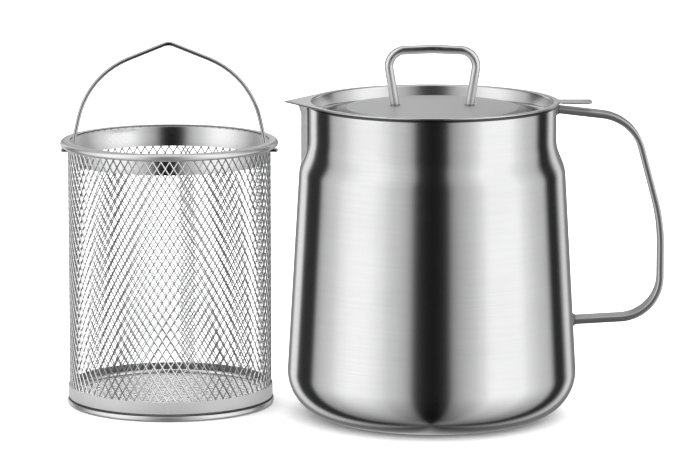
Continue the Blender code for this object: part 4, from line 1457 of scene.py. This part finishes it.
class STRAINER_OT_basket_mesh(bpy.types.Operator):
    """Build the basket's mesh wall, its seam and its woven floor"""

    bl_idname = "strainer.basket_mesh"
    bl_label = "Basket Mesh"

    def execute(self, context):
        mesh_wall(strand_steel(), strand_shade_steel())
        mesh_seam(strand_steel(), strand_shade_steel())
        basket_floor(woven_steel())
        return {"FINISHED"}


class STRAINER_OT_basket_rings(bpy.types.Operator):
    """Build the basket's rim, bands, base ring and hoop"""

    bl_idname = "strainer.basket_rings"
    bl_label = "Basket Rings"

    def execute(self, context):
        rim_ring(ring_steel())
        base_ring(ring_steel())
        base_hoop(strand_steel())
        upper_band(upper_band_steel())
        lower_band(lower_band_steel())
        return {"FINISHED"}


class STRAINER_OT_bail(bpy.types.Operator):
    """Build the basket's bail"""

    bl_idname = "strainer.bail"
    bl_label = "Bail"

    def execute(self, context):
        bail(wire_steel())
        return {"FINISHED"}


class STRAINER_OT_stage(bpy.types.Operator):
    """Lay the floor, light the studio and set the camera"""

    bl_idname = "strainer.stage"
    bl_label = "Stage"

    def execute(self, context):
        stage = sizes("strainer_stage")
        pale_floor(stage)
        world = bpy.data.worlds.new("soft_studio")
        context.scene.world = world
        studio_light(world, stage)
        context.scene.view_settings.view_transform = "Standard"
        camera(stage)
        return {"FINISHED"}


OPERATORS = (
    STRAINER_OT_pot_shell,
    STRAINER_OT_pot_handle,
    STRAINER_OT_lid_pan,
    STRAINER_OT_lid_knob,
    STRAINER_OT_basket_mesh,
    STRAINER_OT_basket_rings,
    STRAINER_OT_bail,
    STRAINER_OT_stage,
)


class STRAINER_PT_pieces(bpy.types.Panel):
    """Lists the pieces and their sizes"""

    bl_label = "Strainer Pot"
    bl_idname = "STRAINER_PT_pieces"
    bl_space_type = "VIEW_3D"
    bl_region_type = "UI"
    bl_category = "Strainer Pot"

    def draw(self, context):
        for operator in OPERATORS:
            self.layout.operator(operator.bl_idname)
        for name in SETTINGS:
            group = getattr(context.scene, name)
            box = self.layout.box()
            for key in group.__annotations__:
                box.prop(group, key)


SETTINGS = {
    "strainer_pot": PotSizes,
    "strainer_lid": LidSizes,
    "strainer_basket": BasketSizes,
    "strainer_finishes": SteelFinishes,
    "strainer_stage": StageSizes,
}


def register():
    """Make the settings, the operators and the panel known to Blender."""
    for name, group in SETTINGS.items():
        bpy.utils.register_class(group)
        setattr(bpy.types.Scene, name, bpy.props.PointerProperty(type=group))
    for made in (*OPERATORS, STRAINER_PT_pieces):
        bpy.utils.register_class(made)


def unregister():
    """Take them out again."""
    for made in (STRAINER_PT_pieces, *reversed(OPERATORS)):
        bpy.utils.unregister_class(made)
    for name, group in reversed(SETTINGS.items()):
        delattr(bpy.types.Scene, name)
        bpy.utils.unregister_class(group)


def main():
    """Build every piece."""
    register()
    for operator in OPERATORS:
        group, name = operator.bl_idname.split(".")
        getattr(getattr(bpy.ops, group), name)()


if __name__ == "__main__":
    main()
